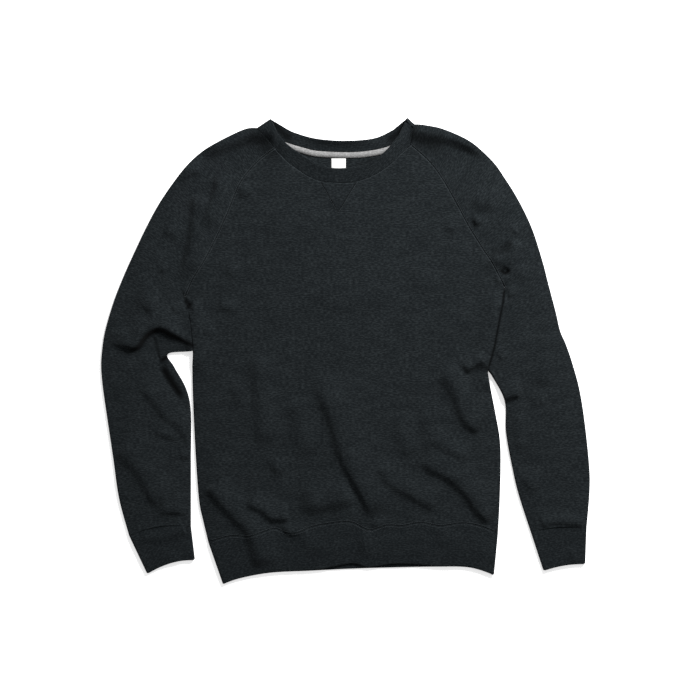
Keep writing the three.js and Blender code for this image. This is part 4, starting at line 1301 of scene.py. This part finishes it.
def heather_group():
    """Yarn of mixed greys: flecks drawn out along the courses, over a small mottle, with painted shade
    mixed in from the painted_shade attribute.
    """
    tree = bpy.data.node_groups.new("heather yarn", "ShaderNodeTree")
    sockets(tree, "INPUT", [
        ("Dark", "Color", (0.01, 0.01, 0.01, 1)),
        ("Light", "Color", (0.03, 0.03, 0.03, 1)),
        ("Fleck Length", "Float", 0.35),
        ("Mottle", "Float", 0.2),
    ])
    sockets(tree, "OUTPUT", [("Color", "Color"), ("Height", "Float")])
    given = add(tree, "NodeGroupInput")
    result = add(tree, "NodeGroupOutput")
    place = add(tree, "ShaderNodeUVMap", uv_map="cloth")

    # Places on the cloth, drawn out along the courses
    stretch = add(tree, "ShaderNodeCombineXYZ")
    stretch.inputs["Y"].default_value = 1.0
    join(tree, given, stretch, "Fleck Length", "X")
    drawn_out = add(tree, "ShaderNodeVectorMath", operation="MULTIPLY")
    join(tree, place, drawn_out)
    join(tree, stretch, drawn_out, into=1)
    longer = add(tree, "ShaderNodeVectorMath", operation="MULTIPLY")
    longer.inputs[1].default_value = (0.6, 1, 1)
    join(tree, drawn_out, longer)

    # Flecks with a few longer streaks, and the mottle, choose between the two greys
    fleck = noise(tree, drawn_out, 620, 2)
    fleck.inputs["Roughness"].default_value = 0.6
    streak = noise(tree, longer, 520, 1)
    yarns = add(tree, "ShaderNodeMix", data_type="FLOAT")
    yarns.inputs["Factor"].default_value = 0.15
    join(tree, fleck, yarns, into=FLOAT_A)
    join(tree, streak, yarns, into=FLOAT_B)
    mottle = noise(tree, drawn_out, 90, 3)
    slow = sum_or_product(tree, "MULTIPLY", mottle, given, "Mottle")
    both = sum_or_product(tree, "ADD", yarns, slow)
    paleness = add(tree, "ShaderNodeMapRange")
    paleness.inputs["From Min"].default_value = 0.53
    paleness.inputs["From Max"].default_value = 0.84
    join(tree, both, paleness, into="Value")
    blend = add(tree, "ShaderNodeMix", data_type="RGBA")
    join(tree, paleness, blend)
    join(tree, given, blend, "Dark", COLOUR_A)
    join(tree, given, blend, "Light", COLOUR_B)

    # Painted shade: where the painted_shade attribute is high the colour turns almost black, in deep
    # places light hardly reaches
    painted_shade = add(tree, "ShaderNodeAttribute", attribute_name="painted_shade")
    shaded = add(tree, "ShaderNodeMix", data_type="RGBA")
    shaded.inputs[COLOUR_B].default_value = (0.0006, 0.0007, 0.0008, 1)
    join(tree, painted_shade, shaded, "Fac")
    join(tree, blend, shaded, MIXED_COLOUR, COLOUR_A)
    join(tree, shaded, result, MIXED_COLOUR, "Color")

    fuzz = noise(tree, place, 900, 2)
    height = sum_or_product(tree, "ADD", fleck, fuzz)
    join(tree, height, result, into="Height")
    return tree


def principled(name):
    material = bpy.data.materials.new(name)
    material.use_nodes = True
    shader = material.node_tree.nodes["Principled BSDF"]
    shader.inputs["Specular IOR Level"].default_value = 0.04
    return material, material.node_tree, shader


def heather_material(name, yarn, dark, light, fleck, mottle, bump, roughness, sheen):
    material, tree, shader = principled(name)
    cloth = add(tree, "ShaderNodeGroup")
    cloth.node_tree = yarn
    cloth.inputs["Dark"].default_value = (*dark, 1)
    cloth.inputs["Light"].default_value = (*light, 1)
    cloth.inputs["Fleck Length"].default_value = fleck
    cloth.inputs["Mottle"].default_value = mottle
    raised = add(tree, "ShaderNodeBump")
    raised.inputs["Strength"].default_value = 1.0
    raised.inputs["Distance"].default_value = bump
    join(tree, cloth, shader, "Color", "Base Color")
    join(tree, cloth, raised, "Height", "Height")
    join(tree, raised, shader, "Normal", "Normal")
    shader.inputs["Roughness"].default_value = roughness
    shader.inputs["Sheen Weight"].default_value = sheen
    shader.inputs["Sheen Roughness"].default_value = 0.5
    return material


# The fine rib's pitch in metres, and the length of one band of the wave texture at scale 1
RIB_PITCH = 0.0022
WAVE_TEXTURE_RUN = 0.314


def rib_material(name, yarn):
    """The heather yarn knitted in fine ribs that run across the band."""
    material = heather_material(
        name, yarn, (0.0050, 0.0065, 0.0075), (0.0180, 0.0219, 0.0239), 0.38, 0.18, 0.0003, 0.9, 0.02
    )
    tree = material.node_tree
    shader = tree.nodes["Principled BSDF"]
    place = add(tree, "ShaderNodeUVMap", uv_map="cloth")
    ribs = add(tree, "ShaderNodeTexWave", wave_type="BANDS", bands_direction="X")
    ribs.inputs["Scale"].default_value = WAVE_TEXTURE_RUN / RIB_PITCH
    ribs.inputs["Distortion"].default_value = 0.6
    ribs.inputs["Detail"].default_value = 1
    join(tree, place, ribs, into="Vector")
    bump = add(tree, "ShaderNodeBump")
    bump.inputs["Strength"].default_value = 0.5
    bump.inputs["Distance"].default_value = 0.0004
    fine = shader.inputs["Normal"].links[0].from_node
    join(tree, ribs, bump, "Fac", "Height")
    join(tree, fine, bump, "Normal", "Normal")
    join(tree, bump, shader, "Normal", "Normal")
    return material


def plain_material(name, colour, roughness, bump):
    material, tree, shader = principled(name)
    place = add(tree, "ShaderNodeUVMap", uv_map="cloth")
    weave = noise(tree, place, 1500, 2)
    raised = add(tree, "ShaderNodeBump")
    raised.inputs["Distance"].default_value = bump
    join(tree, weave, raised, into="Height")
    join(tree, raised, shader, "Normal", "Normal")
    shader.inputs["Base Color"].default_value = (*colour, 1)
    shader.inputs["Roughness"].default_value = roughness
    return material


# Stitching
def stitch_group():
    """Lays short stitches along the lines of a mesh."""
    tree = bpy.data.node_groups.new("stitch rows", "GeometryNodeTree")
    sockets(tree, "INPUT", [
        ("Geometry", "Geometry"), ("Pitch", "Float"), ("Stitch Length", "Float"),
        ("Thread", "Float"), ("Material", "Material"),
    ])
    sockets(tree, "OUTPUT", [("Geometry", "Geometry")])
    given = add(tree, "NodeGroupInput")
    result = add(tree, "NodeGroupOutput")
    lines = add(tree, "GeometryNodeMeshToCurve")
    join(tree, given, lines, "Geometry")
    steps = add(tree, "GeometryNodeResampleCurve", mode="LENGTH")
    join(tree, lines, steps, into="Curve")
    join(tree, given, steps, "Pitch", "Length")
    tangent = add(tree, "GeometryNodeInputTangent")
    turn = add(tree, "FunctionNodeAlignRotationToVector", axis="Z")
    join(tree, tangent, turn, into="Vector")
    half = add(tree, "ShaderNodeMath", operation="MULTIPLY")
    half.inputs[1].default_value = 0.5
    join(tree, given, half, "Thread")
    thread = add(tree, "GeometryNodeMeshCylinder", fill_type="NGON")
    thread.inputs["Vertices"].default_value = 6
    join(tree, half, thread, into="Radius")
    join(tree, given, thread, "Stitch Length", "Depth")
    vary = add(tree, "FunctionNodeRandomValue", data_type="FLOAT_VECTOR")
    vary.inputs[0].default_value = (0.8, 0.8, 0.85)
    vary.inputs[1].default_value = (1.15, 1.15, 1.05)
    vary.inputs["Seed"].default_value = 7
    laid = add(tree, "GeometryNodeInstanceOnPoints")
    join(tree, steps, laid, into="Points")
    join(tree, thread, laid, "Mesh", "Instance")
    join(tree, turn, laid, into="Rotation")
    join(tree, vary, laid, into="Scale")
    real = add(tree, "GeometryNodeRealizeInstances")
    join(tree, laid, real)
    finish = add(tree, "GeometryNodeSetMaterial")
    join(tree, real, finish, into="Geometry")
    join(tree, given, finish, "Material", "Material")
    join(tree, finish, result)
    return tree


def stitches(name, lines, group, material):
    """A mesh of stitches along the lines, which are given as points in millimetres."""
    vertices = np.concatenate(lines) * MM
    edges, start = [], 0
    for line in lines:
        edges += [(start + i, start + i + 1) for i in range(len(line) - 1)]
        start += len(line)
    mesh = bpy.data.meshes.new(name + ".lines")
    mesh.from_pydata(vertices.tolist(), edges, [])
    source = placed(name + ".lines", mesh)
    modifier = source.modifiers.new("stitches", "NODES")
    modifier.node_group = group
    values = {"Pitch": STITCH_PITCH * MM, "Stitch Length": STITCH_LENGTH * MM, "Thread": THREAD * MM,
              "Material": material}
    for item in group.interface.items_tree:
        if item.in_out == "INPUT" and item.name in values:
            modifier[item.identifier] = values[item.name]
    evaluated = source.evaluated_get(bpy.context.evaluated_depsgraph_get())
    made = bpy.data.meshes.new_from_object(evaluated)
    bpy.data.objects.remove(source)
    return placed(name, made)


def surface_line(curve, f, far, top):
    """A line beside a seam, on the cloth."""
    p = shifted(curve, f, far)
    return np.column_stack([p, top(p[:, 0], p[:, 1]) + THREAD_RAISED])


def seam_stitches(group, material):
    whole = np.linspace(0.0, 1, 120)
    lines = {"body": [], "right": [], "left": []}
    for points, side, name in [
        (RAGLAN_FRONT_RIGHT, 1, "right"), (RAGLAN_FRONT_LEFT, -1, "left")
    ]:
        curve = Curve(points)
        lines[name].append(surface_line(curve, whole, side * TWIN / 2, sleeve_top))
        lines["body"].append(surface_line(curve, whole, -side * TWIN / 2, body_top))
    lines["body"].append(surface_line(neck_front, whole, NECK_ROW, body_top))
    for far, top in ((ABOVE_HEM_ROW, body_top), (BELOW_HEM_ROW, hem_top)):
        lines["body"].append(surface_line(hem_front, whole[2:-2], far, top))
    aside, below = INSERT_ROW
    for side, u in zip((-1, 1), INSERT_NECK):
        top_point = neck_front(np.array(u)) + np.array([side * aside, below])
        tip = np.array(INSERT_TIP, float) + np.array([side * aside, 0])
        edge = mix(tip, top_point, np.linspace(0, 1, 30)[:, None])
        height = body_top(edge[:, 0], edge[:, 1]) + INSERT_PROUD
        lines["body"].append(np.column_stack([edge, height]))
    return [
        stitches("body_stitches", lines["body"], group, material),
        stitches("right_sleeve_stitches", lines["right"], group, material),
        stitches("left_sleeve_stitches", lines["left"], group, material),
    ]


# The studio
def light():
    world = bpy.data.worlds.new("studio")
    world.use_nodes = True
    sky = world.node_tree.nodes["Background"]
    sky.inputs["Color"].default_value = (1, 1, 1, 1)
    sky.inputs["Strength"].default_value = SKY_STRENGTH
    bpy.context.scene.world = world
    key = bpy.data.lights.new("key", "AREA")
    key.shape = "DISK"
    key.energy = KEY_POWER
    key.size = KEY_SIZE
    turn, rise = math.radians(KEY_AZIMUTH), math.radians(KEY_ELEVATION)
    toward = Vector(
        (math.cos(turn) * math.cos(rise), math.sin(turn) * math.cos(rise), math.sin(rise))
    )
    lamp = placed("key", key)
    lamp.location = toward * KEY_DISTANCE
    lamp.rotation_euler = toward.to_track_quat("Z", "Y").to_euler()


def camera():
    lens = bpy.data.cameras.new("camera")
    lens.sensor_width = SENSOR
    lens.lens = SENSOR * EYE_DISTANCE / VIEW_WIDTH
    lens.clip_end = 20
    eye = placed("camera", lens)
    eye.location = EYE
    bpy.context.scene.camera = eye
    bpy.context.scene.view_settings.view_transform = "Standard"


def floor():
    mesh = bpy.data.meshes.new("floor")
    r = FLOOR_HALF
    mesh.from_pydata([(-r, -r, 0), (r, -r, 0), (r, r, 0), (-r, r, 0)], [], [(0, 1, 2, 3)])
    material, tree, shader = principled("pale floor")
    shader.inputs["Base Color"].default_value = (FLOOR_GREY, FLOOR_GREY, FLOOR_GREY, 1)
    shader.inputs["Roughness"].default_value = 0.9
    shader.inputs["Emission Color"].default_value = (1, 1, 1, 1)
    shader.inputs["Emission Strength"].default_value = FLOOR_GLOW
    mesh.materials.append(material)
    obj = placed("floor", mesh)
    obj.location.z = -FLOOR_DROP


# The whole
yarn = heather_group()
fleece = heather_material(
    "fleece", yarn, (0.0053, 0.0068, 0.0078), (0.0192, 0.0233, 0.0252), 0.34, 0.2, 0.0004, 0.95, 0.02
)
rib = rib_material("rib", yarn)
tape_grey = heather_material(
    "tape", yarn, (0.15, 0.15, 0.15), (0.29, 0.29, 0.29), 0.5, 0.2, 0.0002, 0.9, 0.0
)
label_white = plain_material("label", (0.6, 0.6, 0.59), 0.8, 0.0001)
thread = plain_material("thread", (0.034, 0.0400, 0.0438), 0.7, 0.0001)

front = panel(
    "sweat_front", hem_front, neck_front, RAGLAN_FRONT_RIGHT, RAGLAN_FRONT_LEFT,
    FRONT_COLUMNS, STEP, True, fleece,
)
back = panel(
    "sweat_back", hem_back, neck_back, RAGLAN_BACK_RIGHT, RAGLAN_BACK_LEFT,
    BACK_COLUMNS, BACK_STEP, False, fleece,
)
PIECES = [
    (front, "front_panel", "fleece"),
    (back, "back_panel", "fleece"),
    (sleeve("sweat_right_sleeve", ARMS["right"], fleece), "right_sleeve", "fleece"),
    (sleeve("sweat_left_sleeve", ARMS["left"], fleece), "left_sleeve", "fleece"),
    (cuff("sweat_right_cuff", ARMS["right"], rib), "right_cuff", "rib"),
    (cuff("sweat_left_cuff", ARMS["left"], rib), "left_cuff", "rib"),
    (hem_band("sweat_hem_band", rib), "hem_band", "rib"),
    (neckband("sweat_neckband", rib), "neckband", "rib"),
    (v_insert("sweat_v_insert", rib), "v_insert", "rib"),
    (neck_tape("sweat_neck_tape", tape_grey), "neck_tape", "tape"),
    (label("sweat_label", label_white), "label", "label"),
]

# Each piece hangs from the root, and its part from model.glb is hidden
for piece, node, slot in PIECES:
    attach(piece, "root")
    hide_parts(node)
for piece in seam_stitches(stitch_group(), thread):
    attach(piece, "root")

floor()
light()
camera()
